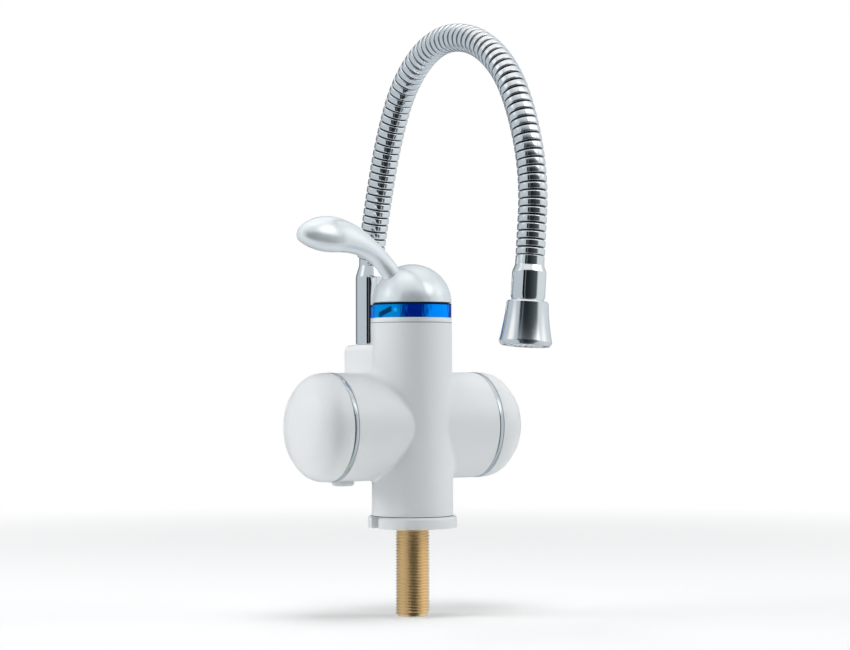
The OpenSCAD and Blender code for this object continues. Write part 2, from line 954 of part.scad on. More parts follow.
module handle() {
  steps = 14;
  color("silver")
    difference() {
      union() {
        translate([0, 0, dome_z])
          difference() {
            rotate_extrude()
              polygon(concat([[0, 0]], dome_points(dome_r, dome_h, steps)));
            translate([0, 0, -0.01])
              rotate_extrude()
                polygon(concat([[0, 0]],
                  dome_points(dome_r - dome_wall, dome_h - dome_wall, steps)));
          }
        difference() {
          lever();
          translate([0, 0, dome_z])
            rotate_extrude()
              polygon(concat([[0, 0]],
                dome_points(dome_r - dome_wall, dome_h - dome_wall, steps)));
        }
        translate([0, 0, dome_z + 1])
          intersection() {
            cylinder(r = hub_r, h = dome_h);
            rotate_extrude()
              polygon(concat([[0, -5]], dome_points(dome_r - 1, dome_h - 2.2, steps)));
          }
      }
      translate([0, 0, dome_z - 1])
        cylinder(r = spindle_top_r + run_gap, h = spindle_end_z - dome_z + 1.2);
      along_x(0, 0, grub_z)
        cylinder(r = grub_r + run_gap, h = dome_r + 2);
    }
}

module spindle() {
  color("goldenrod")
    translate([0, 0, spindle_z]) {
      cylinder(r = spindle_flange_r, h = spindle_flange_h);
      cylinder(r = spindle_r, h = dome_z - spindle_z - 1);
      cylinder(r = spindle_top_r, h = spindle_end_z - spindle_z);
    }
}

module moving_disc() {
  color("white")
    translate([0, 0, moving_z])
      disc_with_ports(disc_r - 0.5, disc_h);
}

module grub_screw() {
  color("gray")
    along_x(spindle_top_r + run_gap, 0, grub_z)
      difference() {
        cylinder(r = grub_r, h = grub_len);
        translate([0, 0, grub_len - 2])
          cylinder(r = 1, h = 3, $fn = 6);
      }
}

// Spout pieces are drawn on the swivel axis and turned to the rest angle
module spout_frame() {
  translate([0, boss_y, 0])
    rotate([0, 0, spout_turn])
      children();
}

module riser() {
  groove_depth = 1.3;
  color("silver")
    spout_frame()
      difference() {
        union() {
          translate([0, 0, clip_z - 2.5])
            cylinder(r = spigot_r, h = riser_z - clip_z + 3);
          rotate_extrude()
            polygon([[0, riser_z], [riser_r - 0.5, riser_z], [riser_r, riser_z + 0.5],
              [riser_r, shoulder_z], [riser_neck_r, shoulder_z + shoulder_h],
              [riser_neck_r, neck_z + 3], [0, neck_z + 3]]);
        }
        translate([0, 0, clip_z - 3])
          cylinder(r = water_r, h = neck_z - clip_z + 8);
        translate([0, 0, neck_z])
          rotate([neck_lean, 0, 0])
            translate([-20, -20, 0])
              cube([40, 40, 20]);
        translate([0, 0, clip_z - run_gap])
          ring(spigot_r + 1, spigot_r - groove_depth, clip_h + 2 * run_gap);
        for (h = seal_heights)
          translate([0, 0, bush_bottom_z + h - seal_wire_r - run_gap])
            ring(spigot_r + 1, spigot_r - 2 * seal_wire_r, 2 * seal_wire_r + 2 * run_gap);
      }
}

module riser_seals() {
  color("black")
    spout_frame()
      for (h = seal_heights)
        translate([0, 0, bush_bottom_z + h])
          rotate_extrude()
            translate([spigot_r - seal_wire_r, 0])
              circle(r = seal_wire_r - run_gap);
}

module riser_clip() {
  color("gray")
    spout_frame()
      translate([0, 0, clip_z])
        difference() {
          cylinder(r = clip_r, h = clip_h);
          translate([0, 0, -1])
            cylinder(r = spigot_r - 1.2, h = clip_h + 2);
          translate([0, -2, -1])
            cube([clip_r + 1, 4, clip_h + 2]);
        }
}

// One length of the gooseneck: two rings to a rib outside, one ring to a rib in the bore
module neck_length(k) {
  first = start_step(k);
  last = end_step(k);
  gap_a = k == 1 ? 0 : joint_gap / 2;
  gap_b = k == lengths ? 0 : joint_gap / 2;
  function shifted(i) = neck_points[i]
    + heading(i) * (i == first ? gap_a : i == last ? -gap_b : 0);
  outer = [for (i = [first : last])
    each ring_at(shifted(i), heading(i), (i - first) % 2 == 1 ? rib_r : groove_r)];
  inner = [for (i = [first : 2 : last])
    each ring_at(shifted(i), heading(i), neck_bore_r)];
  n = neck_sides;
  rows_out = last - first;
  rows_in = rows_out / 2;
  base_in = (rows_out + 1) * n;
  sides_out = [for (i = [0 : rows_out - 1], j = [0 : n - 1])
    let (a = i * n + j, b = i * n + (j + 1) % n) each [[a, b + n, b], [a, a + n, b + n]]];
  sides_in = [for (i = [0 : rows_in - 1], j = [0 : n - 1])
    let (a = base_in + i * n + j, b = base_in + i * n + (j + 1) % n)
    each [[a, b, b + n], [a, b + n, a + n]]];
  ends = [for (j = [0 : n - 1])
    let (a = j, b = (j + 1) % n, e = rows_out * n, f = base_in + rows_in * n)
    each [[a, b, base_in + b], [a, base_in + b, base_in + a],
      [e + a, f + b, e + b], [e + a, f + a, f + b]]];
  color("silver")
    spout_frame()
      polyhedron(concat(outer, inner), concat(sides_out, sides_in, ends), convexity = 6);
}

// Nozzle pieces are drawn pointing along +Z away from the gooseneck's end
module nozzle_frame() {
  tilt = acos(end_heading[2]);
  spout_frame()
    translate(neck_end)
      rotate([0, tilt, atan2(end_heading[1], end_heading[0])])
        children();
}

module hose_cuff() {
  shoulder = 5.8;
  color("silver")
    nozzle_frame()
      difference() {
        rotate_extrude()
          polygon([[0, 0], [cuff_r, 0], [cuff_r, shoulder], [grip_r, shoulder + 3.6],
            [grip_r, grip_len - 3.2], [grip_r - 0.5, grip_len - 1.6], [grip_r - 0.2, grip_len],
            [grip_r - 1.6, grip_len], [grip_r - 1.6, grip_len + 7], [0, grip_len + 7]]);
        translate([0, 0, -1])
          cylinder(r = water_r, h = grip_len + 10);
      }
}

function bell_r(t) = blend(bell_top_r, bell_rim_r, t) - 1.9 * t * (1 - t);

module nozzle_bell() {
  steps = 8;
  bell_wall = 1.4;
  rim = 2.2;
  color("silver")
    nozzle_frame()
      translate([0, 0, grip_len])
        rotate_extrude()
          polygon(concat(
            [[grip_r - 1.5, 0], [bell_top_r - 0.4, 0]],
            [for (i = [0 : steps]) [bell_r(i / steps), 0.4 + (bell_len - 0.4) * i / steps]],
            [[bell_rim_r - 1.3, bell_len + rim], [bell_rim_r - 1.3 - bell_wall, bell_len + rim],
             [bell_rim_r - 1.3 - bell_wall, bell_len - 2]],
            [for (i = [steps - 1 : -1 : 1])
              [bell_r(i / steps) - bell_wall, 0.4 + (bell_len - 0.4) * i / steps]],
            [[bell_top_r - bell_wall, 1.8], [grip_r - 1.5, 1.8]]));
}

module spray_plate() {
  plate_r = bell_rim_r - 1.3 - 1.4 - fit_gap;
  color("whitesmoke")
    nozzle_frame()
      translate([0, 0, grip_len + bell_len - 1.6])
        difference() {
          rotate_extrude()
            polygon([[0, 0], [plate_r, 0], [plate_r, 2.4], [plate_r - 2, 3], [0, 3.8]]);
          for (row = [[4, 6], [8.4, 12]], i = [0 : row[1] - 1])
            rotate(360 * i / row[1])
              translate([row[0], 0, -1])
                cylinder(r = 0.8, h = 6);
        }
}

module flow_straightener() {
  insert_r = bell_top_r - 2;
  color("gainsboro")
    nozzle_frame()
      translate([0, 0, grip_len + 7.1])
        difference() {
          cylinder(r = insert_r, h = bell_len - 8.8);
          for (a = [0 : 60 : 300])
            rotate(a)
              translate([5, 0, -1])
                cylinder(r = 1.9, h = bell_len);
          translate([0, 0, -1])
            cylinder(r = 1.9, h = bell_len);
        }
}

housing();
base_ring();
base_seal();
base_screws();
inlet_shank();
valve_body();
cartridge_gasket();
fixed_disc();
cartridge_body();
cartridge_nut();
heater_chamber();
heater_cover();
heater_seal();
heating_element();
thermal_cutout();
outlet_pipe();
spout_socket();
flow_switch_body();
flow_switch_cap();
diaphragm();
flow_plunger();
microswitch();
circuit_board();
relay();
capacitor();
terminal_block();
left_trim_ring();
right_trim_ring();
left_cap();
right_cap();
drain_plug();
collar_ring();
light_ring();
light_board();
glide_ring();
handle();
spindle();
moving_disc();
grub_screw();
riser();
riser_seals();
riser_clip();
neck_length(1);  // neck_1
neck_length(2);  // neck_2
neck_length(3);  // neck_3
neck_length(4);  // neck_4
neck_length(5);  // neck_5
neck_length(6);  // neck_6
neck_length(7);  // neck_7
neck_length(8);  // neck_8
hose_cuff();
nozzle_bell();
spray_plate();
flow_straightener();
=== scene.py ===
"""Dresses the electric instant water heater tap: finishes, ribs, thread, handle and studio."""
import math

import bpy
import bmesh
import numpy as np
from mathutils import Matrix, Vector


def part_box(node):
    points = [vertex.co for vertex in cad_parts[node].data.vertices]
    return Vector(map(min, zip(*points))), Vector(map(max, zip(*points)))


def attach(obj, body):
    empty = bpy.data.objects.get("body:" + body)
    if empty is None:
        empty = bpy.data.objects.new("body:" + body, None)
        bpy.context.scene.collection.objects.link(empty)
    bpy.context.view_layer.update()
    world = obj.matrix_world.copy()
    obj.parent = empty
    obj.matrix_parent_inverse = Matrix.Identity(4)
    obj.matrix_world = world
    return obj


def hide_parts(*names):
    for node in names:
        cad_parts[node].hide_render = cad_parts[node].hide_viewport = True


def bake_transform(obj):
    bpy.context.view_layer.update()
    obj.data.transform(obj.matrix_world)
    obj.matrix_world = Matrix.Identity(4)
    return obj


bl_info = {
    "name": "Instant water heater tap",
    "version": (1, 0, 0),
    "blender": (4, 5, 0),
    "location": "View3D > Sidebar > Tap",
    "description": "Builds the visible surfaces of the tap on its CAD frame",
    "category": "Object",
}

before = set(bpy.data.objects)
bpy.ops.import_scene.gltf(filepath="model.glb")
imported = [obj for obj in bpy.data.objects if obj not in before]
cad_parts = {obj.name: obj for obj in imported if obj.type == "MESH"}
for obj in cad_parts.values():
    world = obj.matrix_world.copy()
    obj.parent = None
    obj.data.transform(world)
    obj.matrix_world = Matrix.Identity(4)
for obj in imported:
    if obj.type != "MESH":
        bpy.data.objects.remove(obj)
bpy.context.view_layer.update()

MM = 0.001
# Height in metres of the lowest point of the tap, the end of its inlet shank
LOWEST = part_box("inlet_shank")[0].z

# All other lengths are in millimetres, apart from those of the studio.
# Column: radius and height at its foot and at its top
FOOT_R, FOOT_Z, TOP_R, TOP_Z = 24.9, 7.0, 24.35, 124.5
# Barrel: its axis, its radius and where each half ends
BARREL_Y, BARREL_Z, BARREL_R, BARREL_REACH = 11.25, 61.3, 32.9, 50.3
# Rear boss: place and radius of the circle that it grows from, its radius about the swivel, its top
BOSS_FRONT_Y, BOSS_FRONT_R, BOSS_R, BOSS_TOP_Z = 12.0, 19.3, 16.3, 111.6
# Light ring: its radius and its middle height
LIGHT_R, LIGHT_Z = 24.1, 131.75
# Dome of the handle: its foot, its radius and rise, and those of its hollow
DOME_Z, DOME_R, DOME_RISE, HOLLOW_R, HOLLOW_RISE = 136.9, 24.1, 23.6, 21.5, 20.15
# Spout: its swivel axis, how far it is turned at rest and the height of its first rib
SWIVEL_Y, SPOUT_TURN, NECK_Z = 49.2, math.radians(3), 165.8


# ---------------------------------------------------------------- shader building

class Value:
    """A shader socket that carries a number, with ordinary arithmetic."""

    def __init__(self, finish, socket):
        self.finish = finish
        self.socket = socket

    def _maths(self, operation, *values):
        node = self.finish.node("ShaderNodeMath", {"operation": operation}, dict(enumerate(values)))
        return Value(self.finish, node.outputs[0])

    def __add__(self, other):
        return self._maths("ADD", self, other)

    __radd__ = __add__

    def __sub__(self, other):
        return self._maths("SUBTRACT", self, other)

    def __rsub__(self, other):
        return self._maths("SUBTRACT", other, self)

    def __mul__(self, other):
        return self._maths("MULTIPLY", self, other)

    __rmul__ = __mul__

    def __truediv__(self, other):
        return self._maths("DIVIDE", self, other)

    def __rtruediv__(self, other):
        return self._maths("DIVIDE", other, self)

    def highest(self, other):
        return self._maths("MAXIMUM", self, other)

    def angle(self, other):
        """Angle whose sine is like this value and whose cosine is like the other."""
        return self._maths("ARCTAN2", self, other)

    def wave(self):
        return self._maths("COSINE", self)

    def size(self):
        return self._maths("ABSOLUTE", self)

    def wrap(self, low, high):
        return self._maths("WRAP", self, high, low)

    def above(self, edge, soft):
        """0 below the edge, 1 above it, with a soft step as wide as given."""
        node = self.finish.node(
            "ShaderNodeMapRange", {"interpolation_type": "SMOOTHSTEP", "clamp": True},
            {"Value": self, "From Min": edge - soft / 2, "From Max": edge + soft / 2})
        return Value(self.finish, node.outputs["Result"])

    def below(self, edge, soft):
        return 1 - self.above(edge, soft)


class Finish:
    """The nodes of one material, or of the world."""

    def __init__(self, name, world=False):
        self.data = (bpy.data.worlds if world else bpy.data.materials).new(name)
        self.data.use_nodes = True
        self.tree = self.data.node_tree
        self.tree.nodes.clear()
        self.even_kind = "ShaderNodeBackground" if world else "ShaderNodeEmission"
        self.output_kind = "ShaderNodeOutputWorld" if world else "ShaderNodeOutputMaterial"

    def node(self, kind, settings=None, sockets=None):
        """Adds a node: its settings first, then the values or links of its sockets."""
        node = self.tree.nodes.new(kind)
        for key, value in (settings or {}).items():
            setattr(node, key, value)
        for key, value in (sockets or {}).items():
            if isinstance(value, Value):
                value = value.socket
            if isinstance(value, bpy.types.NodeSocket):
                self.tree.links.new(value, node.inputs[key])
            else:
                if node.inputs[key].type == "RGBA" and len(value) == 3:
                    value = (*value, 1)
                node.inputs[key].default_value = value
        return node

    def place(self, part="Object"):
        return self.node("ShaderNodeTexCoord").outputs[part]

    def axes(self, part="Object"):
        """The piece's own x, y and z in metres, or the world's directions as Generated."""
        split = self.node("ShaderNodeSeparateXYZ", {}, {0: self.place(part)})
        return [Value(self, s) for s in split.outputs]

    def ray(self, kind):
        """1 for rays of that kind, such as Camera, and 0 for others."""
        return Value(self, self.node("ShaderNodeLightPath").outputs["Is %s Ray" % kind])

    def noise(self, scale, detail, stretch=None):
        vector = self.place()
        if stretch:
            vector = self.node("ShaderNodeVectorMath", {"operation": "MULTIPLY"},
                               {0: vector, 1: stretch}).outputs[0]
        node = self.node("ShaderNodeTexNoise", {},
                         {"Vector": vector, "Scale": scale, "Detail": detail})
        return Value(self, node.outputs["Fac"])

    def blend(self, share, first, second):
        """A colour between two others."""
        return self.node("ShaderNodeMix", {"data_type": "RGBA"},
                         {"Factor": share, 6: first, 7: second}).outputs[2]

    def bump(self, height, strength, distance):
        return self.node("ShaderNodeBump", {}, {"Height": height, "Strength": strength,
                                                "Distance": distance}).outputs[0]

    def mixed(self, share, first, second):
        """A Mix Shader node between two shader nodes."""
        return self.node("ShaderNodeMixShader", {}, {0: share, 1: first.outputs[0],
                                                     2: second.outputs[0]})

    def even(self, colour):
        """A shader node that shows this colour whatever the light."""
        return self.node(self.even_kind, {}, {"Color": colour, "Strength": 1.0})

    def show(self, shader):
        """Joins a shader node to the output and hands back the finished material or world."""
        self.node(self.output_kind, {}, {"Surface": shader.outputs[0]})
        return self.data

    def surface(self, **sockets):
        """A principled surface with these sockets, joined to the output."""
        names = {k.replace("_", " ").title().replace("Ior", "IOR"): v for k, v in sockets.items()}
        return self.show(self.node("ShaderNodeBsdfPrincipled", {}, names))


# ---------------------------------------------------------------- finishes

FINISHES = {}


def finish_of(name):
    """The material of that name, made once."""
    if name not in FINISHES:
        maker, *values = MAKERS[name]
        FINISHES[name] = maker(*values)
    return FINISHES[name]


def colour_of(name):
    return tuple(getattr(bpy.context.scene.tap_finish, name))


def scaled(colour, share):
    return tuple(min(1.0, share * c) for c in colour)


def mottled(name, colours, patches, roughness, spread, relief=None, **sockets):
    """A finish whose colour and polish drift between soft patches, over a fine relief.

    patches is the scale and detail of the patches' noise. relief is the scale, detail and
    stretch of its own noise, then the bump's strength and its height in metres.
    """
    f = Finish(name)
    patch = f.noise(*patches)
    shade = f.blend(patch, *colours)
    if relief:
        grain, strength, height = relief
        sockets["normal"] = f.bump(f.noise(*grain), strength, height)
    return f.surface(base_color=shade, roughness=roughness + spread * (patch - 0.5), **sockets)


def plastic(name, colour, roughness, grain):
    """Moulded plastic: faint flow marks in its colour and a fine moulded texture."""
    return mottled(name, (scaled(colour, 0.985), scaled(colour, 1.01)), (28.0, 3.0), roughness,
                   0.06, ((grain, 2.0), 0.12, 0.00002), ior=1.5)


def metal(name, colour, roughness, spread, scale, grain=None, height=0.00002):
    """Metal: patches of slightly different polish and colour, and a fine surface grain."""
    return mottled(name, (scaled(colour, 0.95), scaled(colour, 1.04)), (scale, 3.0), roughness,
                   spread, grain and ((grain, 2.0), 0.15, height), metallic=1.0)


def chrome(name, *polish):
    """Chrome in the colour that the panel gives."""
    return metal(name, colour_of("chrome"), *polish)


def shell_white():
    """Gloss white plastic with a faint ripple."""
    colour = colour_of("shell")
    return mottled("tap_white_plastic", (scaled(colour, 0.99), colour), (9.0, 0.0), 0.3, 0.05,
                   ((420.0, 1.0), 0.06, 0.00004), ior=1.46)


def satin(name, metallic, roughness, share):
    """Fine satin plating: a soft sheen over an even, pale ground."""
    colour = scaled(colour_of("satin"), share)
    return mottled(name, (scaled(colour, 0.985), colour), (35.0, 3.0), roughness, 0.03,
                   ((1400.0, 2.0), 0.1, 0.00001), metallic=metallic)


def cut_brass():
    """Cut brass thread: turning marks and darker, redder patches of tarnish."""
    colour = colour_of("brass")
    tarnish = tuple(c * k for c, k in zip(colour, (0.93, 0.87, 0.74)))
    return mottled("tap_cut_brass", (tarnish, colour), (55.0, 4.0), 0.35, 0.1,
                   ((160.0, 2.0, (1.0, 1.0, 14.0)), 0.3, 0.00004), metallic=1.0)


# Painted glow of the light ring: how far the board's lamps are turned, then in millimetres beside a
# lit lamp and above the ring's middle, a slanting dark bar, a bright spot and the dark top rim
LAMPS_TURN = math.radians(11)
BAR_BESIDE, BAR_ABOVE, BAR_SLOPE, BAR_HALF_HEIGHT, BAR_HALF_WIDTH = 1.0, -0.8, 0.37, 1.7, 5.4
SPOT_BESIDE, SPOT_ABOVE, SPOT_SQUARE, RIM_ABOVE = 9.0, 0.4, 1.5, 3.7


def blue_ring():
    """Clear blue plastic in painted glow: bright at each board lamp, deep blue between."""
    f = Finish("tap_blue_light_ring")
    x, y, z = f.axes()
    around = y.angle(x) + LAMPS_TURN
    streak = f.noise(900.0, 2.0, (1.0, 1.0, 0.22)) - 0.5
    # Every second lamp of the eight is lit. Every second lit one is cooler, with a bar and a spot
    cooler = (2 * around - math.pi / 4).wave().above(0.0, 1.0)
    lit = ((4 * around - math.pi / 2).wave() + 0.45 * cooler + 1.7 * streak).above(0.0, 1.2)
    glow = f.blend(cooler, colour_of("light_glow"), colour_of("light_cool"))
    shade = f.blend(lit, colour_of("light_deep"), glow)
    beside = (around - math.pi / 8).wrap(-math.pi / 4, math.pi / 4) * LIGHT_R
    height = z / MM - LIGHT_Z
    across = beside - BAR_BESIDE
    slant = (height - BAR_ABOVE - BAR_SLOPE * across).size()
    bar = slant.below(BAR_HALF_HEIGHT, 1.1) * across.size().below(BAR_HALF_WIDTH, 1.6)
    shade = f.blend(bar * cooler, shade, (0.0, 0.03, 0.09))
    sideways, upwards = beside - SPOT_BESIDE, height - SPOT_ABOVE
    spot = (sideways * sideways + upwards * upwards).below(SPOT_SQUARE, 2.4)
    shade = f.blend(spot * cooler, shade, (0.01, 0.28, 0.62))
    shade = f.blend(height.above(RIM_ABOVE, 0.3), shade, (0.0, 0.01, 0.04))
    # The painted glow is also emitted, the deep blue too, so the ring glows with no lamp inside
    return f.surface(base_color=shade, roughness=0.1, ior=1.2, specular_ior_level=0.05,
                     emission_color=shade, emission_strength=0.5)


# How each finish is made: its maker, then what the maker takes
MAKERS = {
    "white_plastic": (shell_white,),
    "chrome": (chrome, "tap_bright_chrome", 0.07, 0.03, 45.0, 800.0, 0.000008),
    "rib_chrome": (chrome, "tap_rib_chrome", 0.12, 0.05, 90.0, 900.0, 0.00001),
    "bell_chrome": (chrome, "tap_bell_chrome", 0.17, 0.04, 45.0, 900.0, 0.00001),
    "trim_chrome": (metal, "tap_trim_chrome", (0.6, 0.64, 0.67), 0.16, 0.04, 45.0, 900.0, 0.00001),
    "satin_silver": (satin, "tap_satin_silver", 0.08, 0.3, 1.06),
    "satin_chrome": (satin, "tap_satin_chrome", 0.38, 0.22, 1.07),
    "brass": (cut_brass,),
    "blue_light": (blue_ring,),
    # The dark core between the gooseneck's ribs: painted shade for the gaps there
    "groove_dark": (metal, "tap_groove_dark", (0.05, 0.055, 0.06), 0.4, 0.1, 200.0),
    "rubber_black": (plastic, "tap_black_rubber", (0.03, 0.03, 0.032), 0.6, 500.0),
    "silicone_red": (plastic, "tap_red_silicone", (0.45, 0.06, 0.04), 0.5, 400.0),
    "ceramic": (plastic, "tap_ceramic", (0.9, 0.88, 0.82), 0.22, 1500.0),
    "grey_plastic": (plastic, "tap_grey_plastic", (0.42, 0.44, 0.47), 0.4, 600.0),
    "dark_plastic": (plastic, "tap_dark_plastic", (0.03, 0.032, 0.038), 0.38, 600.0),
    "board_green": (plastic, "tap_green_board", (0.03, 0.22, 0.09), 0.32, 700.0),
    "spray_white": (plastic, "tap_spray_plastic", (0.72, 0.74, 0.76), 0.35, 700.0),
    "stainless": (metal, "tap_stainless", (0.6, 0.6, 0.6), 0.3, 0.08, 40.0, 700.0),
    "steel": (metal, "tap_plain_steel", (0.5, 0.5, 0.51), 0.35, 0.1, 60.0, 500.0),
    "copper": (metal, "tap_copper", (0.8, 0.42, 0.28), 0.28, 0.1, 50.0, 500.0),
}


# ---------------------------------------------------------------- mesh building

def in_scene(name, data):
    """A new object of the scene for a mesh, a lamp or the camera."""
    thing = bpy.data.objects.new(name, data)
    bpy.context.scene.collection.objects.link(thing)
    return thing


def mesh_of(name, points, faces):
    """A mesh from points in millimetres."""
    mesh = bpy.data.meshes.new(name)
    mesh.from_pydata([tuple(c * MM for c in p) for p in points], [], faces)
    return mesh


def add_piece(name, points, faces, body, slot, finishes=None, indices=None, sharp=38.0,
              replaces=()):
    """A shown piece that rides on a body. Edges of more than sharp degrees stay edges."""
    mesh = mesh_of(name, points, faces)
    if indices is not None:
        mesh.polygons.foreach_set("material_index", indices)
    mesh.validate()
    mesh.shade_smooth()
    mesh.set_sharp_from_angle(angle=math.radians(sharp))
    for each in finishes or [slot]:
        mesh.materials.append(finish_of(each))
    piece = in_scene(name, mesh)
    if body:
        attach(piece, body)
    if replaces:
        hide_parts(*replaces)
    return piece


def skin(rows, closed=True):
    """Faces that join each row of point numbers to the next, round about or open."""
    faces = []
    for low, high in zip(rows, rows[1:]):
        count = len(low)
        for k in range(count if closed else count - 1):
            n = (k + 1) % count
            face = tuple(dict.fromkeys((low[k], low[n], high[n], high[k])))
            if len(face) > 2:
                faces.append(face)
    return faces


def rounded(corners, steps=5):
    """An outline of (radius, height, rounding) corners with its corners turned into arcs."""
    out = []
    count = len(corners)
    for i, (r, h, rounding) in enumerate(corners):
        here = np.array((r, h), float)
        if not rounding:
            out.append(tuple(here))
            continue
        before = np.array(corners[i - 1][:2], float) - here
        after = np.array(corners[(i + 1) % count][:2], float) - here
        a, b = before / np.linalg.norm(before), after / np.linalg.norm(after)
        half = math.acos(max(-1.0, min(1.0, float(a @ b)))) / 2
        reach = min(rounding / math.tan(half), 0.49 * np.linalg.norm(before),
                    0.49 * np.linalg.norm(after))
        radius = reach * math.tan(half)
        middle = here + (a + b) / np.linalg.norm(a + b) * radius / math.sin(half)
        first, last = here + a * reach - middle, here + b * reach - middle
        turn = math.atan2(first[0] * last[1] - first[1] * last[0], float(first @ last))
        for k in range(steps + 1):
            t = turn * k / steps
            c, s = math.cos(t), math.sin(t)
            out.append(tuple(middle + np.array((c * first[0] - s * first[1],
                                                s * first[0] + c * first[1]))))
    return out


def turned(outline, place, segments):
    """Points and faces of an outline turned about an axis. place maps (radial, radial, height)."""
    points, rows = [], []
    for r, h in outline:
        if r < 1e-6:
            rows.append([len(points)] * segments)
            points.append(place(0.0, 0.0, h))
            continue
        rows.append(range(len(points), len(points) + segments))
        for k in range(segments):
            a = 2 * math.pi * k / segments
            points.append(place(r * math.cos(a), r * math.sin(a), h))
    return points, skin(rows + rows[:1])


def add_turned(name, corners, place, segments, body, slot, steps=5, **more):
    """A shown piece turned from rounded corners."""
    points, faces = turned(rounded(corners, steps), place, segments)
    return add_piece(name, points, faces, body, slot, **more)


def prism(outline, place, low, high):
    """Points and faces of a flat outline with thickness. place maps (across, up, depth)."""
    count = len(outline)
    points = [place(u, v, depth) for depth in (low, high) for u, v in outline]
    faces = skin([range(count), range(count, 2 * count)])
    return points, faces + [tuple(range(count - 1, -1, -1)), tuple(range(count, 2 * count))]


def paint(nodes, finish):
    """Gives CAD nodes that are shown as they are their finish."""
    for name in nodes:
        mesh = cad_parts[name].data
        if not mesh.materials:
            mesh.materials.append(None)
        for i in range(len(mesh.materials)):
            mesh.materials[i] = finish_of(finish)


def upright(u, v, h):
    """An axis up the column, its height counted from the base."""
    return (u, v, h)


def along_x(sign=1.0):
    """An axis along the barrel, its height counted from the column towards the end."""
    return lambda u, v, h: (sign * h, BARREL_Y + sign * u, BARREL_Z + v)


def spout_place(u, v, h):
    """From the spout's own frame to the tap's."""
    c, s = math.cos(SPOUT_TURN), math.sin(SPOUT_TURN)
    return (c * u - s * v, s * u + c * v + SWIVEL_Y, h)


# ---------------------------------------------------------------- gooseneck path

# Degrees by which each length of the gooseneck bends forward, by which its last two bend sideways,
# and by which it leans where it leaves the riser
NECK_BENDS = (3.3, 10.4, 28.2, 38.1, 30.5, 27.7, 16.3, 10.6)
NECK_SIDE = (-1.4, 6.3)
NECK_LEAN = 14.1
# Ribs: their pitch, and how many stand on each straight end and on each bending length
RIB_PITCH = 4.63
RIBS_STRAIGHT, RIBS_BEND = 5, 8
RIBS = 2 * RIBS_STRAIGHT + len(NECK_BENDS) * RIBS_BEND


def bend_share(rib, length):
    """How much of a length's bend lies before so many ribs."""
    return min(max((rib - RIBS_STRAIGHT - length * RIBS_BEND) / RIBS_BEND, 0.0), 1.0)


def heading(rib):
    """Direction of the gooseneck, and its sideways and outward directions, after so many ribs."""
    bent = sum(bend * bend_share(rib, k) for k, bend in enumerate(NECK_BENDS))
    b = math.radians(NECK_LEAN + bent)
    s = math.radians(NECK_SIDE[0] * bend_share(rib, 6) + NECK_SIDE[1] * bend_share(rib, 7))
    along = np.array((-math.sin(s), -math.cos(s) * math.sin(b), math.cos(s) * math.cos(b)))
    across = np.array((math.cos(s), -math.sin(s) * math.sin(b), math.sin(s) * math.cos(b)))
    return along, across, np.cross(along, across)


NECK_POINTS = [np.array((0.0, 0.0, NECK_Z))]
for _half in range(2 * RIBS):
    NECK_POINTS.append(NECK_POINTS[-1] + RIB_PITCH / 2 * heading((_half + 0.5) / 2)[0])


def neck_at(rib):
    """Point of the gooseneck's centre line after so many ribs, in the spout's frame: a cubic
    between the points of two half pitches, which keeps their headings."""
    half = min(max(2 * rib, 0.0), 2 * RIBS)
    low = min(int(half), 2 * RIBS - 1)
    t = half - low
    a, b = NECK_POINTS[low], NECK_POINTS[low + 1]
    m, n = (RIB_PITCH / 2 * heading(i / 2)[0] for i in (low, low + 1))
    return ((2 * t ** 3 - 3 * t * t + 1) * a + (t ** 3 - 2 * t * t + t) * m
            + (3 * t * t - 2 * t ** 3) * b + (t ** 3 - t * t) * n)


def neck_world(rib):
    return Vector(spout_place(*neck_at(rib))) * MM


# ---------------------------------------------------------------- sizes and colours

class TapSizes(bpy.types.PropertyGroup):
    """Sizes of the details that the frame leaves plain."""
    crease_left: bpy.props.FloatProperty(
        name="Left crease",
        description="Fillet between the column and the barrel's left half, at its top",
        default=0.0055, min=0.0005, max=0.01, unit="LENGTH")
    crease_right: bpy.props.FloatProperty(
        name="Right crease", description="Fillet between the column and the barrel's right half",
        default=0.0045, min=0.0005, max=0.01, unit="LENGTH")
    edge: bpy.props.FloatProperty(
        name="Edge rounding", description="Rounding of the edges of rings and caps",
        default=0.0005, min=0.0001, max=0.002, unit="LENGTH")
    rib_r: bpy.props.FloatProperty(
        name="Rib radius", description="Outside radius of the gooseneck's ribs",
        default=0.00835, min=0.0075, max=0.009, unit="LENGTH")
    # The dark core is painted shade in the gaps between the ribs
    groove_r: bpy.props.FloatProperty(
        name="Groove radius", description="Radius of the dark core between the ribs",
        default=0.00715, min=0.006, max=0.008, unit="LENGTH")
    thread_pitch: bpy.props.FloatProperty(
        name="Thread pitch", description="Pitch of the pipe thread on the inlet shank",
        default=0.001814, min=0.001, max=0.003, unit="LENGTH")
    thread_depth: bpy.props.FloatProperty(
        name="Thread depth", description="Depth of the pipe thread",
        default=0.00112, min=0.0003, max=0.0015, unit="LENGTH")


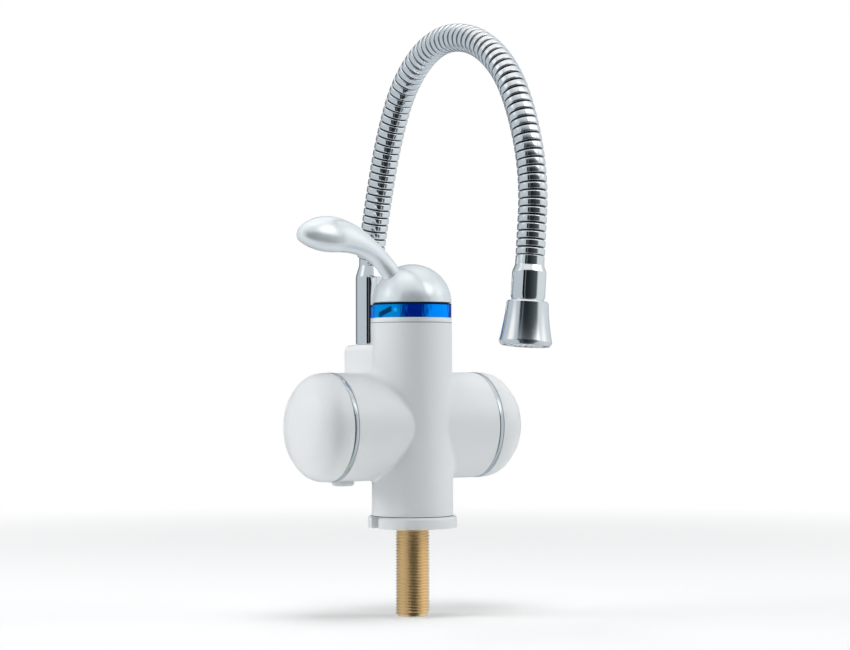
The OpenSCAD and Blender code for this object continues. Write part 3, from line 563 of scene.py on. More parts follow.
class TapFinish(bpy.types.PropertyGroup):
    """Colours of the visible finishes."""
    shell: bpy.props.FloatVectorProperty(
        name="Housing", description="Gloss white plastic of the housing and caps",
        subtype="COLOR", size=3, min=0.0, max=1.0, default=(0.80, 0.81, 0.815))
    chrome: bpy.props.FloatVectorProperty(
        name="Chrome", description="Bright chrome of the spout and trim rings",
        subtype="COLOR", size=3, min=0.0, max=1.0, default=(0.80, 0.82, 0.84))
    satin: bpy.props.FloatVectorProperty(
        name="Satin silver", description="Satin chrome of the handle and collar",
        subtype="COLOR", size=3, min=0.0, max=1.0, default=(0.77, 0.81, 0.83))
    brass: bpy.props.FloatVectorProperty(
        name="Brass", description="Cut brass of the inlet shank",
        subtype="COLOR", size=3, min=0.0, max=1.0, default=(1.0, 0.79, 0.51))
    light_deep: bpy.props.FloatVectorProperty(
        name="Ring, deep", description="Light ring between its lamps",
        subtype="COLOR", size=3, min=0.0, max=1.0, default=(0.0, 0.010, 0.165))
    light_glow: bpy.props.FloatVectorProperty(
        name="Ring, lit", description="Light ring near its lamps",
        subtype="COLOR", size=3, min=0.0, max=1.0, default=(0.0, 0.2, 0.75))
    light_cool: bpy.props.FloatVectorProperty(
        name="Ring, cool", description="Light ring near the cooler half of its lit lamps",
        subtype="COLOR", size=3, min=0.0, max=1.0, default=(0.0, 0.17, 0.48))


class TapStudio(bpy.types.PropertyGroup):
    """The studio around the tap."""
    floor: bpy.props.FloatVectorProperty(
        name="Floor", description="Colour of the floor",
        subtype="COLOR", size=3, min=0.0, max=1.0, default=(0.9, 0.9, 0.9))
    ambient: bpy.props.FloatProperty(
        name="Ambient", description="Even light from all round",
        default=0.22, min=0.0, max=2.0)
    lamp: bpy.props.FloatProperty(
        name="Lamps", description="Power of each soft lamp", default=6.0, min=0.0, max=50.0,
        unit="POWER")


def sizes():
    return bpy.context.scene.tap_sizes


# ---------------------------------------------------------------- housing

# Slope of the boss's flat sides, which touch both of its circles
BOSS_LEAN = math.asin((BOSS_FRONT_R - BOSS_R) / (SWIVEL_Y - BOSS_FRONT_Y))
# Fillet round the boss, and where its upright part begins above the barrel
BOSS_FILLET, CORNER_LOW_Z = 3.0, 92.0
# Share of the left crease's fillet that is left under the barrel
CREASE_LOW_SHARE = 0.35
# Half widths of the cable slot in the base ring, inside and outside its lips
SLOT_HALF, LIP_HALF = 3.6, 3.92


class TapOperator:
    """What the tap's operators share."""
    bl_options = {"REGISTER", "UNDO"}


def column_r(z):
    return FOOT_R + (TOP_R - FOOT_R) * (z - FOOT_Z) / (TOP_Z - FOOT_Z)


def barrel_side(angle, out=0.0):
    """Depth and height of a point at or off the barrel's side, whose angle is 0 at the front."""
    reach = BARREL_R + out
    return BARREL_Y - reach * math.cos(angle), BARREL_Z + reach * math.sin(angle)


def boss_flat(side):
    """Direction into the boss's flat side."""
    return Vector((-side * math.cos(BOSS_LEAN), -math.sin(BOSS_LEAN), 0.0))


def boss_reach(ball):
    """Distance of the boss's flat side from the column's axis, with a ball rolling on it."""
    return BOSS_R + SWIVEL_Y * math.sin(BOSS_LEAN) + ball


def fillet_strip(stations, steps=8):
    """A rolled fillet: each station is the ball's centre and its two points of contact."""
    points, rows = [], []
    for centre, first, last in stations:
        a, b = first - centre, last - centre
        angle = a.angle(b)
        rows.append(range(len(points), len(points) + steps + 1))
        for k in range(steps + 1):
            t = k / steps
            points.append(centre + (a * math.sin((1 - t) * angle) + b * math.sin(t * angle))
                          / math.sin(angle))
    return points, skin(rows, False)


def barrel_creases(side, radius_low, radius_high):
    """Fillets where the column stands out of the front, top and bottom of the barrel."""
    stations = []
    for i in range(97):
        angle = math.radians(-96 + 2 * i)
        ball = radius_low + (radius_high - radius_low) * (0.5 + 0.5 * math.sin(angle))
        y, z = barrel_side(angle, ball)
        r = column_r(z)
        x = side * math.sqrt((r + ball) ** 2 - y * y)
        on_column = Vector((x * r / (r + ball), y * r / (r + ball), z))
        stations.append((Vector((x, y, z)), on_column, Vector((x, *barrel_side(angle)))))
    return stations


def boss_creases(side, ball):
    """Fillets between the rear boss and the barrel, over the top and down the back."""
    stations = []
    for i in range(49):
        angle = math.radians(92 + (196 - 92) * i / 48)
        y, z = barrel_side(angle, ball)
        x = side * (boss_reach(ball) - y * math.sin(BOSS_LEAN)) / math.cos(BOSS_LEAN)
        centre = Vector((x, y, z))
        stations.append((centre, centre + boss_flat(side) * ball, Vector((x, *barrel_side(angle)))))
    return stations


def boss_corners(side, ball):
    """Upright fillets between the column and the rear boss, above the barrel."""
    stations = []
    for i in range(13):
        z = CORNER_LOW_Z + (BOSS_TOP_Z - BOSS_FILLET - CORNER_LOW_Z) * i / 12
        r = column_r(z)
        around = BOSS_LEAN + math.acos(boss_reach(ball) / (r + ball))
        x, y = side * math.cos(around), math.sin(around)
        centre = Vector(((r + ball) * x, (r + ball) * y, z))
        stations.append((centre, Vector((r * x, r * y, z)), centre + boss_flat(side) * ball))
    return stations


class TAP_OT_housing(TapOperator, bpy.types.Operator):
    """Finishes the moulded housing and rolls fillets into its creases"""
    bl_idname = "tap.housing"
    bl_label = "Housing"

    def execute(self, context):
        paint(["housing", "base_ring"], "white_plastic")
        left, right = sizes().crease_left / MM, sizes().crease_right / MM
        strips = {
            "crease_left": barrel_creases(-1, CREASE_LOW_SHARE * left, left),
            "crease_right": barrel_creases(1, right, right),
            "boss_crease_left": boss_creases(-1, BOSS_FILLET),
            "boss_crease_right": boss_creases(1, BOSS_FILLET),
            "boss_corner_left": boss_corners(-1, BOSS_FILLET),
            "boss_corner_right": boss_corners(1, BOSS_FILLET),
        }
        for name, stations in strips.items():
            add_piece(name, *fillet_strip(stations), "base", "white_plastic", sharp=80.0)
        # A thin dark ring lies where the column's foot meets the base ring
        bore, rim, low, high = 23.0, FOOT_R + 0.05, FOOT_Z - 0.05, FOOT_Z + 0.4
        dark_ring_corners = [(bore, low, 0), (rim, low, 0), (rim, high, 0.1), (bore, high, 0)]
        add_turned("foot_gasket", dark_ring_corners, upright, 128, "base", "rubber_black")
        # A lip along each side of the cable slot
        lip = rounded([(-25.8, 0.05, 0.1), (-22.2, 0.05, 0.1), (-22.2, 1.9, 0.1),
                       (-25.8, 1.9, 0.1)], 3)
        for name, side in (("slot_lip_front", -1.0), ("slot_lip_back", 1.0)):
            points, faces = prism(lip, lambda u, v, w: (u, side * w, v), SLOT_HALF, LIP_HALF)
            add_piece(name, points, faces, "base", "white_plastic")
        return {"FINISHED"}


# ---------------------------------------------------------------- barrel ends

# Trim rings: radii of the rim, the spigot and the bore, width, how far the rim stands back from
# what it lies between, and how far the spigot reaches into it
RING_R, SPIGOT_R, RING_BORE_R, RING_WIDTH, RING_GAP, SPIGOT = 33.0, 30.2, 28.0, 3.3, 0.22, 2.5
# End caps: where each ends, how square its outline is, its walls, its gap to the ring and how far
# its edge there stands back
CAP_ENDS = {"left": 73.0, "right": 74.8}
CAP_SQUARE, CAP_WALL, CAP_END_WALL, CAP_GAP, CAP_STEP = 2.75, 2.3, 2.4, 0.1, 0.25


def cap_outline(length, steps=40):
    """The end cap's outline, dense where the face turns into the side."""
    out = []
    for i in range(steps + 1):
        a = math.pi / 2 * i / steps
        out.append((BARREL_R * math.cos(a) ** (2 / CAP_SQUARE) if i < steps else 0.0,
                    length * math.sin(a) ** (2 / CAP_SQUARE)))
    return out


class TAP_OT_barrel_ends(TapOperator, bpy.types.Operator):
    """Builds the trim rings and the end caps, and finishes the drain plug"""
    bl_idname = "tap.barrel_ends"
    bl_label = "Barrel ends"

    def execute(self, context):
        edge = sizes().edge / MM
        start, end = BARREL_REACH, BARREL_REACH + RING_WIDTH
        ring = [(RING_BORE_R, start - SPIGOT, 0), (SPIGOT_R, start - SPIGOT, 0),
                (SPIGOT_R, start + RING_GAP, 0), (RING_R, start + RING_GAP, edge),
                (RING_R, end - RING_GAP, edge), (SPIGOT_R, end - RING_GAP, 0),
                (SPIGOT_R, end + SPIGOT, 0), (RING_BORE_R, end + SPIGOT, 0)]
        foot = end + CAP_GAP
        for side, place in (("left", along_x(-1.0)), ("right", along_x(1.0))):
            add_turned(side + "_ring", ring, place, 160, "base", "chrome",
                       finishes=["trim_chrome"], replaces=[side + "_trim_ring"])
            tip = CAP_ENDS[side]
            cap = [(BARREL_R - CAP_WALL, foot), (BARREL_R - CAP_STEP, foot)]
            cap += [(r, foot + h) for r, h in cap_outline(tip - foot)]
            cap += [(0.0, tip - CAP_END_WALL), (BARREL_R - 9.0, tip - CAP_END_WALL),
                    (BARREL_R - CAP_WALL, tip - 10)]
            points, faces = turned(cap, place, 160)
            add_piece(side + "_end_cap", points, faces, "base", "white_plastic", sharp=50.0,
                      replaces=[side + "_cap"])
        paint(["drain_plug"], "spray_white")
        return {"FINISHED"}


# ---------------------------------------------------------------- column head

class TAP_OT_column_head(TapOperator, bpy.types.Operator):
    """Builds the collar and the light ring, and finishes the glide ring and the light board"""
    bl_idname = "tap.column_head"
    bl_label = "Column head"

    def execute(self, context):
        edge = sizes().edge / MM
        collar = [(13.0, 124.56, 0), (24.2, 124.56, edge), (24.2, 127.7, edge), (13.0, 127.7, 0)]
        # A thin dark ring lies where the column's top meets the collar
        dark_ring_corners = [(13.0, 124.35, 0), (24.28, 124.35, 0), (24.28, 124.8, 0.1), (13.0, 124.8, 0)]
        clear = [(21.5, 127.82, 0.3), (24.1, 127.82, 0.4), (24.1, 136.4, 0.3), (23.8, 136.4, 0.1),
                 (23.6, 135.6, 0), (21.5, 135.65, 0.3)]
        for name, corners, finish, replaced in (
                ("collar", collar, "satin_silver", ["collar_ring"]),
                ("collar_gasket", dark_ring_corners, "rubber_black", []),
                ("clear_ring", clear, "blue_light", ["light_ring"])):
            add_turned(name, corners, upright, 160, "base", finish, replaces=replaced)
        paint(["glide_ring"], "dark_plastic")
        paint(["light_board"], "board_green")
        return {"FINISHED"}


# ---------------------------------------------------------------- handle

# The lever's reach, and the four points that draw its spine: share of the reach, and height over
# the dome's foot
LEVER_REACH = 81.2
LEVER_SPINE = [np.array((-share * LEVER_REACH, height)) for share, height in
               ((0.083, 4.8), (0.324, 39.9), (0.6, 42.3), (1.0, 39.7))]
# How far its section reaches up and sideways and how low its widest line lies: at the root, at the
# paddle, where the change between them begins along the lever and how long it is
LEVER_DEPTH, LEVER_HALF = (5.7, 11.85, 0.25, 0.63), (5.8, 11.5, 0.2, 0.52)
LEVER_DROP = (0.1, 0.45, 0.1, 0.4)
# Where the tip begins and ends along the lever, and how square it is seen from above
TIP_START, TIP_END, TIP_SQUARE = 0.66, 0.984, 2.6
# Hole of the grub screw: radius, length and height over the dome's foot
HOLE_R, HOLE_LENGTH, HOLE_Z = 2.05, 30.0, 5.5


def grown(t, root, paddle, start, length):
    """A measure of the lever at t, which changes smoothly from the root's to the paddle's."""
    u = min(1.0, max(0.0, (t - start) / length))
    return root + (paddle - root) * u * u * (3 - 2 * u)


def lever_section(t, shrink, narrow, sides):
    """One section of the lever: an oval round the spine at t, shrunk in height and width."""
    p = LEVER_SPINE
    c = (p[0] * (1 - t) ** 3 + 3 * p[1] * t * (1 - t) ** 2 + 3 * p[2] * t * t * (1 - t)
         + p[3] * t ** 3)
    d = (p[1] - p[0]) * (1 - t) ** 2 + 2 * (p[2] - p[1]) * t * (1 - t) + (p[3] - p[2]) * t * t
    up = np.array((d[1], -d[0])) / np.hypot(*d)
    depth, half, drop = (grown(t, *each) for each in (LEVER_DEPTH, LEVER_HALF, LEVER_DROP))
    out = []
    for j in range(sides):
        g = 2 * math.pi * j / sides
        n = depth * shrink * (math.sin(g) * (1 + math.copysign(drop, math.sin(g))) - drop)
        out.append((c[0] + n * up[0], half * narrow * math.cos(g), DOME_Z + c[1] + n * up[1]))
    return out


def lever_mesh(sides=64, stem=56, tip=36):
    """Points and faces of the lever, closed at its root and rounded at its tip."""
    stations = [(TIP_START * i / stem, 1.0, 1.0) for i in range(stem)]
    # The last section keeps a little size, so the tip closes with a face
    for i in range(tip + 1):
        a = math.radians(89 * i / tip)
        stations.append((TIP_START + (TIP_END - TIP_START) * math.sin(a), math.cos(a),
                         (1 - math.sin(a) ** TIP_SQUARE) ** (1 / TIP_SQUARE)))
    points = [p for station in stations for p in lever_section(*station, sides)]
    rows = [range(i * sides, (i + 1) * sides) for i in range(len(stations))]
    return points, skin(rows) + [tuple(reversed(rows[0])), tuple(rows[-1])]


def dome_arc(radius, rise, steps):
    """Outline of a dome from just above its foot to its top."""
    return [(radius * math.cos(math.pi / 2 * i / steps) if i < steps else 0.0,
             DOME_Z + rise * math.sin(math.pi / 2 * i / steps)) for i in range(1, steps + 1)]


def loose(name, points, faces):
    """A helper solid for a boolean."""
    mesh = mesh_of(name, points, faces)
    bm = bmesh.new()
    bm.from_mesh(mesh)
    bmesh.ops.recalc_face_normals(bm, faces=bm.faces)
    bm.to_mesh(mesh)
    bm.free()
    return in_scene(name, mesh)


def combined(name, first, others):
    """Points and faces of a solid after unions and cuts with other solids; helpers are removed."""
    for other, operation in others:
        modifier = first.modifiers.new(name, "BOOLEAN")
        modifier.operation = operation
        modifier.solver = "EXACT"
        modifier.object = other
    bpy.context.view_layer.update()
    evaluated = first.evaluated_get(bpy.context.evaluated_depsgraph_get())
    mesh = bpy.data.meshes.new_from_object(evaluated)
    points = [tuple(c / MM for c in v.co) for v in mesh.vertices]
    faces = [tuple(p.vertices) for p in mesh.polygons]
    for helper in [first] + [o for o, _ in others]:
        bpy.data.objects.remove(helper)
    return points, faces


class TAP_OT_handle(TapOperator, bpy.types.Operator):
    """Builds the handle: a dome and a lever in one casting"""
    bl_idname = "tap.handle"
    bl_label = "Handle"

    def execute(self, context):
        foot = rounded([(21.6, DOME_Z, 0), (DOME_R, DOME_Z, 0.45), (DOME_R, DOME_Z + 1.2, 0)])[:-1]
        inside = dome_arc(HOLLOW_R, HOLLOW_RISE, 24)
        dome = loose("dome", *turned(foot + dome_arc(DOME_R, DOME_RISE, 48) + inside[::-1],
                                     upright, 128))
        hollow = loose("hollow", *turned([(0.0, DOME_Z - 1), (HOLLOW_R, DOME_Z - 1)] + inside,
                                         upright, 96))
        hole = loose("hole", *turned(
            [(0.0, 0.0), (HOLE_R, 0.0), (HOLE_R, HOLE_LENGTH), (0.0, HOLE_LENGTH)],
            lambda u, v, h: (h, u, DOME_Z + HOLE_Z + v), 32))
        lever = loose("lever", *lever_mesh())
        stem = loose("stem", *combined("stem", lever, [(hollow, "DIFFERENCE")]))
        points, faces = combined("handle", dome, [(stem, "UNION"), (hole, "DIFFERENCE")])
        add_piece("handle_casting", points, faces, "lever", "satin_chrome", sharp=30.0,
                  replaces=["handle"])
        paint(["grub_screw"], "steel")
        return {"FINISHED"}


# ---------------------------------------------------------------- spout

class TAP_OT_riser(TapOperator, bpy.types.Operator):
    """Builds the polished riser"""
    bl_idname = "tap.riser"
    bl_label = "Riser"

    def execute(self, context):
        corners = [(4.5, 111.9, 0), (9.2, 111.9, 0.5), (9.2, 154.6, 6.0), (7.0, 161.9, 5.0),
                   (7.0, 165.2, 0.3), (4.5, 165.2, 0)]
        add_turned("riser_tube", corners, spout_place, 128, "spout", "chrome", steps=9, sharp=50.0)
        paint(["riser"], "chrome")
        return {"FINISHED"}


# A rib's half length, its height, the rounding of its shoulders and how deep it sinks into the core
RIB_HALF, RIB_HEIGHT, RIB_SHOULDER, RIB_SINK = 1.9, 1.5, 1.25, 0.3
# Its outline, a flat crown between round shoulders: place along the pitch and share of its height
RIB_OUTLINE = [(x / RIB_PITCH, y / RIB_HEIGHT) for x, y in rounded(
    [(-RIB_HALF, 0, 0), (-RIB_HALF, RIB_HEIGHT, RIB_SHOULDER),
     (RIB_HALF, RIB_HEIGHT, RIB_SHOULDER), (RIB_HALF, 0, 0)], 7)]


def gooseneck_mesh(first, last, segments=56):
    """Stiff ribs along the path, and a dark core, painted shade, in the gaps between them."""
    crown, core = sizes().rib_r / MM, sizes().groove_r / MM
    root = core - RIB_SINK
    points, faces, indices = [], [], []

    def ring(rib, r, shift=0.0):
        along, across, outward = heading(rib)
        middle = neck_at(rib) + shift * RIB_PITCH * along
        for k in range(segments):
            a = 2 * math.pi * k / segments
            p = middle + r * (math.cos(a) * across + math.sin(a) * outward)
            points.append(spout_place(*p))
        return range(len(points) - segments, len(points))

    def join(rows, finish):
        more = skin(rows)
        faces.extend(more)
        indices.extend([finish] * len(more))

    for rib in range(first, last):
        rows = [ring(rib + 0.5, root + (crown - root) * h, u) for u, h in RIB_OUTLINE]
        join(rows + rows[:1], 0)
    # The dark core: painted shade in the gaps between the ribs
    join([ring(first + i / 2, core) for i in range(2 * (last - first) + 1)], 1)
    return points, faces, indices


class TAP_OT_gooseneck(TapOperator, bpy.types.Operator):
    """Builds the ribbed gooseneck, which bends from length to length"""
    bl_idname = "tap.gooseneck"
    bl_label = "Gooseneck"

    def part(self, name, first, last, body, replaced):
        points, faces, indices = gooseneck_mesh(first, last)
        return add_piece(name, points, faces, body, "chrome", ["rib_chrome", "groove_dark"],
                         indices, 60.0, replaced)

    def execute(self, context):
        half = RIBS_BEND // 2
        hinges = [RIBS_STRAIGHT + RIBS_BEND * k for k in range(1, len(NECK_BENDS))]
        self.part("gooseneck_root", 0, hinges[0] - half, "spout", ["neck_1"])
        self.part("gooseneck_end", hinges[-1] + half, RIBS, "bend_8", ["neck_8"])
        for k, hinge in enumerate(hinges):
            replaced = ["neck_%d" % (k + 2)] if k < 6 else []
            start, end = hinge - half, hinge + half
            piece = self.part("gooseneck_bend_%d" % (k + 1), start, end, None, replaced)
            neck_world(start)
            neck_world(end)
            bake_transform(piece)
        return {"FINISHED"}


# The bell's side: radius at its top, how far it flares and how hollow it is, then where it begins
# below the gooseneck, its length, its steps and its wall
BELL_R, BELL_FLARE, BELL_SAG = 12.0, 3.2, 1.9
BELL_START, BELL_LENGTH, BELL_STEPS, BELL_WALL = 26.9, 22.3, 24, 1.4
# Rings of jets on the spray plate: radius and count
JET_RINGS = ((3.6, 6), (6.6, 12), (9.6, 18))


def nozzle_place(u, v, h):
    """From the nozzle's own frame, whose height counts down from the gooseneck, to the tap's."""
    along, across, outward = heading(RIBS)
    return spout_place(*(neck_at(RIBS) + h * along + u * across + v * outward))


class TAP_OT_nozzle(TapOperator, bpy.types.Operator):
    """Builds the cuff, the bell and the spray plate with its jets"""
    bl_idname = "tap.nozzle"
    bl_label = "Nozzle"

    def execute(self, context):
        cuff = [(4.5, 0.15, 0), (8.2, 0.15, 0.4), (8.35, 5.6, 2.2), (9.75, 9.2, 2.6),
                (9.8, 23.0, 1.6), (9.0, 25.9, 0.4), (4.5, 25.9, 0)]
        add_turned("cuff", cuff, nozzle_place, 128, "bend_8", "chrome", steps=7, sharp=50.0,
                   replaces=["hose_cuff"])
        side = []
        for i in range(BELL_STEPS):
            t = i / BELL_STEPS
            side.append((BELL_R + BELL_FLARE * t - BELL_SAG * t * (1 - t),
                         BELL_START + BELL_LENGTH * t, 0))
        bell = ([(8.3, 26.05, 0), (11.3, 26.05, 0.35)] + side
                + [(15.2, 49.2, 0.5), (13.9, 51.35, 0.35), (12.6, 51.35, 0.2), (12.6, 47.2, 0)]
                + [(r - BELL_WALL, h, 0) for r, h, _ in side[-2:0:-3]] + [(8.3, 27.8, 0)])
        add_turned("bell", bell, nozzle_place, 128, "bend_8", "chrome", steps=6,
                   finishes=["bell_chrome"], sharp=34.0, replaces=["nozzle_bell"])
        plate = [(0.0, 47.7, 0), (12.3, 47.7, 0), (12.3, 50.0, 0.3), (10.2, 50.55, 1.0),
                 (0.0, 50.9, 0)]
        jet = [(0.35, 50.3, 0), (0.85, 50.3, 0), (0.7, 51.3, 0.15), (0.35, 51.3, 0)]
        points, faces = turned(rounded(plate), nozzle_place, 96)
        for radius, count in JET_RINGS:
            for i in range(count):
                a = 2 * math.pi * i / count
                x, y = radius * math.cos(a), radius * math.sin(a)
                more, sides = turned(rounded(jet, 3), lambda u, v, h: nozzle_place(x + u, y + v, h),
                                     16)
                faces += [tuple(k + len(points) for k in face) for face in sides]
                points += more
        add_piece("jet_plate", points, faces, "bend_8", "spray_white", replaces=["spray_plate"])
        return {"FINISHED"}


# ---------------------------------------------------------------- inlet shank

# Crest of the pipe thread, its upper end, and how its first turns grow out of a smaller end
THREAD_R, THREAD_TOP, THREAD_LEAD, THREAD_SLOPE = 10.4, 2.4, 1.5, 1.05
# One turn of it: place along the pitch and share of the depth, from root to crest to root
THREAD_TURN = ((0.0, 1.0), (0.10, 0.97), (0.40, 0.06), (0.5, 0.0), (0.60, 0.06), (0.90, 0.97))


def thread_mesh(low, pitch, depth, segments=96):
    """Points and faces of the thread, whose rows climb one pitch a turn."""
    places, shares = zip(*THREAD_TURN, (1.0, 1.0))
    per = len(THREAD_TURN)
    count = per * int((THREAD_TOP - low - 1.2) / pitch)
    points, rows = [], []
    for i in range(count + 1):
        rows.append(range(len(points), len(points) + segments))
        for k in range(segments):
            climb = i / per + k / segments
            z = low + 0.5 + climb * pitch
            r = THREAD_R - depth * np.interp(climb % 1.0, places, shares)
            r = min(r, THREAD_R - THREAD_LEAD + (z - low) * THREAD_SLOPE)
            a = 2 * math.pi * k / segments
            points.append((r * math.cos(a), r * math.sin(a), min(z, THREAD_TOP)))
    faces = skin(rows, False)
    # The seam joins the end of each row to the start of the row one turn higher
    for i in range(count + 1 - per):
        seam = [rows[i][-1], rows[i + per][0], rows[i + 1][-1]]
        if i + per < count:
            seam.insert(2, rows[i + per + 1][0])
        faces.append(tuple(seam))
    return points, faces


class TAP_OT_shank(TapOperator, bpy.types.Operator):
    """Cuts the pipe thread on the brass inlet shank"""
    bl_idname = "tap.shank"
    bl_label = "Inlet shank"

    def execute(self, context):
        size, low = sizes(), LOWEST / MM
        points, faces = thread_mesh(low, size.thread_pitch / MM, size.thread_depth / MM)
        add_piece("pipe_thread", points, faces, "base", "brass", sharp=50.0)
        core = [(7.0, low, 0.3), (8.75, low, 0.3), (9.2, low + 0.9, 0), (9.2, 19.9, 0),
                (5.5, 19.9, 0), (5.5, -3.0, 0), (7.0, -3.0, 0)]
        add_turned("shank_core", core, upright, 96, "base", "brass", replaces=["inlet_shank"])
        return {"FINISHED"}


# ---------------------------------------------------------------- pieces inside

INSIDE = {
    "rubber_black": ["base_seal", "cartridge_gasket", "diaphragm", "riser_seals"],
    "silicone_red": ["heater_seal"],
    "ceramic": ["fixed_disc", "moving_disc"],
    "grey_plastic": ["cartridge_body", "flow_switch_body", "flow_switch_cap"],
    "dark_plastic": ["thermal_cutout", "microswitch", "relay", "capacitor", "riser_clip"],
    "board_green": ["circuit_board"],
    "spray_white": ["flow_plunger", "terminal_block", "flow_straightener"],
    "stainless": ["heater_chamber", "heater_cover", "heating_element"],
    "steel": ["base_screws"],
    "copper": ["outlet_pipe"],
    "brass": ["valve_body", "cartridge_nut", "spindle", "spout_socket"],
}


class TAP_OT_inside(TapOperator, bpy.types.Operator):
    """Finishes the valve, the heater, the flow switch and the electronics inside"""
    bl_idname = "tap.inside"
    bl_label = "Pieces inside"

    def execute(self, context):
        for finish, nodes in INSIDE.items():
            paint(nodes, finish)
        return {"FINISHED"}


# ---------------------------------------------------------------- studio

# Lengths are in metres here, and angles in degrees.
CAMERA = {"place": (-0.6928325, -1.0899811, 0.0966847), "turn": -32.79066454,
          "tilt": 0.0206231849, "roll": -0.0023552188, "lens": 89.365}
WHITE = (1.0, 1.0, 1.0)
# Tent: the tint of its even light, and its sides and top as bright surfaces see them
AMBIENT_TINT, TENT_SIDES, TENT_TOP = (0.90, 1.0, 1.04), (0.58, 0.64, 0.68), (1.1, 1.1, 1.1)
# Its patches: azimuth, elevation, cosine of the angle from there to the edge, softness, colour
PATCHES = (
    (92, 4, 0.7, 0.4, (0.78, 0.82, 0.84)),
    (-160, 0, 0.84, 0.25, (0.2, 0.22, 0.24)),
    (95, 28, 0.965, 0.07, (1.3, 1.3, 1.3)),
    (54, 39, 0.95, 0.05, (2.0, 2.0, 2.0)),
    (-78, 30, 0.97, 0.06, (1.15, 1.15, 1.15)),
)
# Lamps: azimuth, elevation, size and share of the power, all at one distance from the tap's middle
LAMPS = {"lamp_left": (-86, 18, 0.6, 1.42), "lamp_right": (92, 16, 0.6, 1.04),
         "lamp_top": (0, 86, 0.7, 2.15)}
LAMP_DISTANCE, LAMP_TARGET = 1.3, Vector((0.0, 0.0, 0.1))
# Dark card: its distance before the tap, its edges sideways and upwards, and its border's edge,
# then the colours of its field at the left and the right, of its border and of the line there
CARD = {"distance": 0.575, "left": -0.38, "right": 1.05, "low": -0.9, "high": 0.62,
        "border": -0.205}
CARD_DARK, CARD_GREY = (0.016, 0.02, 0.024), (0.10, 0.12, 0.13)
CARD_BORDER, CARD_LINE = (0.004, 0.004, 0.005), (0.15, 0.17, 0.19)
# Half the floor's width
FLOOR_HALF = 6.0


def around_camera(azimuth, elevation):
    """Direction from the tap: azimuth 0 is towards the camera, and 90 is the camera's right."""
    a, e = math.radians(azimuth + CAMERA["turn"] - 90), math.radians(elevation)
    return Vector((math.cos(a) * math.cos(e), math.sin(a) * math.cos(e), math.sin(e)))


def along(place, azimuth, elevation):
    """How far a shader's place lies in that direction from the tap."""
    x, y, z = place
    direction = around_camera(azimuth, elevation)
    return x * direction.x + y * direction.y + z * direction.z


def studio_light():
    """Even light for plain surfaces; bright ones see a pale tent with light and dark patches."""
    f = Finish("tap_studio", world=True)
    place = f.axes("Generated")
    shade = f.blend(place[2].above(0.75, 0.4), TENT_SIDES, TENT_TOP)
    for azimuth, elevation, edge, soft, colour in PATCHES:
        shade = f.blend(along(place, azimuth, elevation).above(edge, soft), shade, colour)
    plain = tuple(bpy.context.scene.tap_studio.ambient * c for c in AMBIENT_TINT)
    sky = f.mixed(f.ray("Glossy").highest(f.ray("Transmission")), f.even(plain), f.even(shade))
    return f.show(f.mixed(f.ray("Camera"), sky, f.even(WHITE)))


def card_finish():
    """Dark card that only bright surfaces see: a black border, a thin line and a grey field."""
    f = Finish("studio_card")
    x, y = f.axes()[:2]
    shade = f.blend(x.above(0.35, 0.8), CARD_DARK, CARD_GREY)
    shade = f.blend(x.above(CARD["border"], 0.02), CARD_BORDER, shade)
    line = x.above(CARD["border"] + 0.01, 0.02) * x.below(CARD["border"] + 0.075, 0.03)
    shade = f.blend(line, shade, CARD_LINE)
    there = (x.above(CARD["left"] + 0.02, 0.03) * x.below(CARD["right"] - 0.22, 0.4)
             * y.above(CARD["low"] + 0.015, 0.025) * y.below(CARD["high"] - 0.13, 0.24))
    return f.show(f.mixed(there, f.node("ShaderNodeBsdfTransparent"), f.even(shade)))


def floor_finish():
    """Pale, faintly uneven floor that keeps the tap's shadow, and is white further off."""
    f = Finish("studio_floor")
    x, y = f.axes()[:2]
    colour = tuple(bpy.context.scene.tap_studio.floor)
    surface = f.node("ShaderNodeBsdfDiffuse", {},
                     {"Color": f.blend(f.noise(3.0, 2.0), scaled(colour, 0.99), colour)})
    far = (x * x + y * y).above(0.6, 1.1)
    return f.show(f.mixed(f.ray("Camera") * (0.35 + 0.65 * far), surface, f.even(WHITE)))


def standing(right, up, back, place):
    """Matrix of a thing at that place with these axes."""
    return Matrix(((*right, 0), (*up, 0), (*back, 0), (*place, 1))).transposed()


def sheet(name, low, high, height, finish):
    """A flat piece of the stage between two corners."""
    mesh = bpy.data.meshes.new(name)
    corners = [(low[0], low[1]), (high[0], low[1]), high, (low[0], high[1])]
    mesh.from_pydata([(*corner, height) for corner in corners], [], [(0, 1, 2, 3)])
    mesh.materials.append(finish)
    piece = in_scene(name, mesh)
    return piece


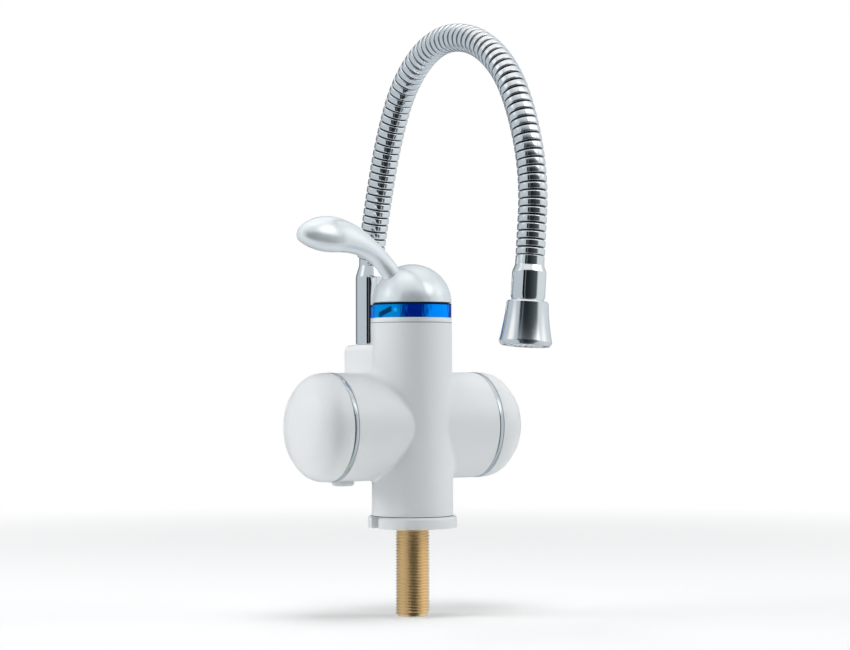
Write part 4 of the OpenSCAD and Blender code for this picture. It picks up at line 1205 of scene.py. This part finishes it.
class TAP_OT_studio(TapOperator, bpy.types.Operator):
    """Sets the camera, the lamps, the tent, the dark card and the floor"""
    bl_idname = "tap.studio"
    bl_label = "Studio"

    def set_camera(self, scene, level, ahead):
        data = bpy.data.cameras.new("studio_camera")
        data.lens, data.sensor_width, data.clip_end = CAMERA["lens"], 36.0, 50.0
        roll, rise = CAMERA["roll"], level.cross(ahead)
        right = level * math.cos(roll) + rise * math.sin(roll)
        up = rise * math.cos(roll) - level * math.sin(roll)
        scene.camera = in_scene("studio_camera", data)
        scene.camera.matrix_world = standing(right, up, -ahead, CAMERA["place"])

    def set_lamps(self, power):
        for name, (azimuth, elevation, size, share) in LAMPS.items():
            light = bpy.data.lights.new(name, "AREA")
            light.size, light.energy = size, power * share
            lamp = in_scene(name, light)
            lamp.visible_glossy = False
            lamp.location = LAMP_DISTANCE * around_camera(azimuth, elevation) + LAMP_TARGET
            aim = (LAMP_TARGET - lamp.location).to_track_quat("-Z", "Y")
            lamp.rotation_euler = aim.to_euler()

    def execute(self, context):
        scene = context.scene
        turn, tilt = math.radians(CAMERA["turn"]), CAMERA["tilt"]
        level = Vector((math.cos(turn), math.sin(turn), 0.0))
        ahead = Vector((-math.sin(turn) * math.cos(tilt), math.cos(turn) * math.cos(tilt),
                        math.sin(tilt)))
        self.set_camera(scene, level, ahead)
        scene.world = studio_light()
        self.set_lamps(scene.tap_studio.lamp)
        floor = sheet("floor", (-FLOOR_HALF, -FLOOR_HALF), (FLOOR_HALF, FLOOR_HALF), LOWEST,
                      floor_finish())
        floor.visible_glossy = False
        card = sheet("dark_card", (CARD["left"], CARD["low"]), (CARD["right"], CARD["high"]), 0,
                     card_finish())
        card.matrix_world = standing(level, (0, 0, 1), (ahead.x, ahead.y, 0),
                                     CARD["distance"] * around_camera(0, 0))
        for kind in ("camera", "diffuse", "shadow", "transmission", "volume_scatter"):
            setattr(card, "visible_" + kind, False)
        scene.view_settings.view_transform = "Standard"
        return {"FINISHED"}


# ---------------------------------------------------------------- panel and start

OPERATORS = (TAP_OT_housing, TAP_OT_barrel_ends, TAP_OT_column_head, TAP_OT_handle, TAP_OT_riser,
             TAP_OT_gooseneck, TAP_OT_nozzle, TAP_OT_shank, TAP_OT_inside, TAP_OT_studio)


class TAP_PT_panel(bpy.types.Panel):
    """Lists the tap's pieces, sizes and colours"""
    bl_idname = "TAP_PT_panel"
    bl_label = "Water heater tap"
    bl_space_type = "VIEW_3D"
    bl_region_type = "UI"
    bl_category = "Tap"

    def draw(self, context):
        for group in (context.scene.tap_sizes, context.scene.tap_finish, context.scene.tap_studio):
            box = self.layout.box()
            for key in group.__annotations__:
                box.prop(group, key)
        for operator in OPERATORS:
            self.layout.operator(operator.bl_idname)


GROUPS = {"tap_sizes": TapSizes, "tap_finish": TapFinish, "tap_studio": TapStudio}
CLASSES = (*GROUPS.values(), *OPERATORS, TAP_PT_panel)


def register():
    for each in CLASSES:
        bpy.utils.register_class(each)
    for name, group in GROUPS.items():
        setattr(bpy.types.Scene, name, bpy.props.PointerProperty(type=group))


def unregister():
    for name in GROUPS:
        delattr(bpy.types.Scene, name)
    for each in reversed(CLASSES):
        bpy.utils.unregister_class(each)


def main():
    register()
    for operator in OPERATORS:
        group, name = operator.bl_idname.split(".")
        getattr(getattr(bpy.ops, group), name)()


if __name__ == "__main__":
    main()
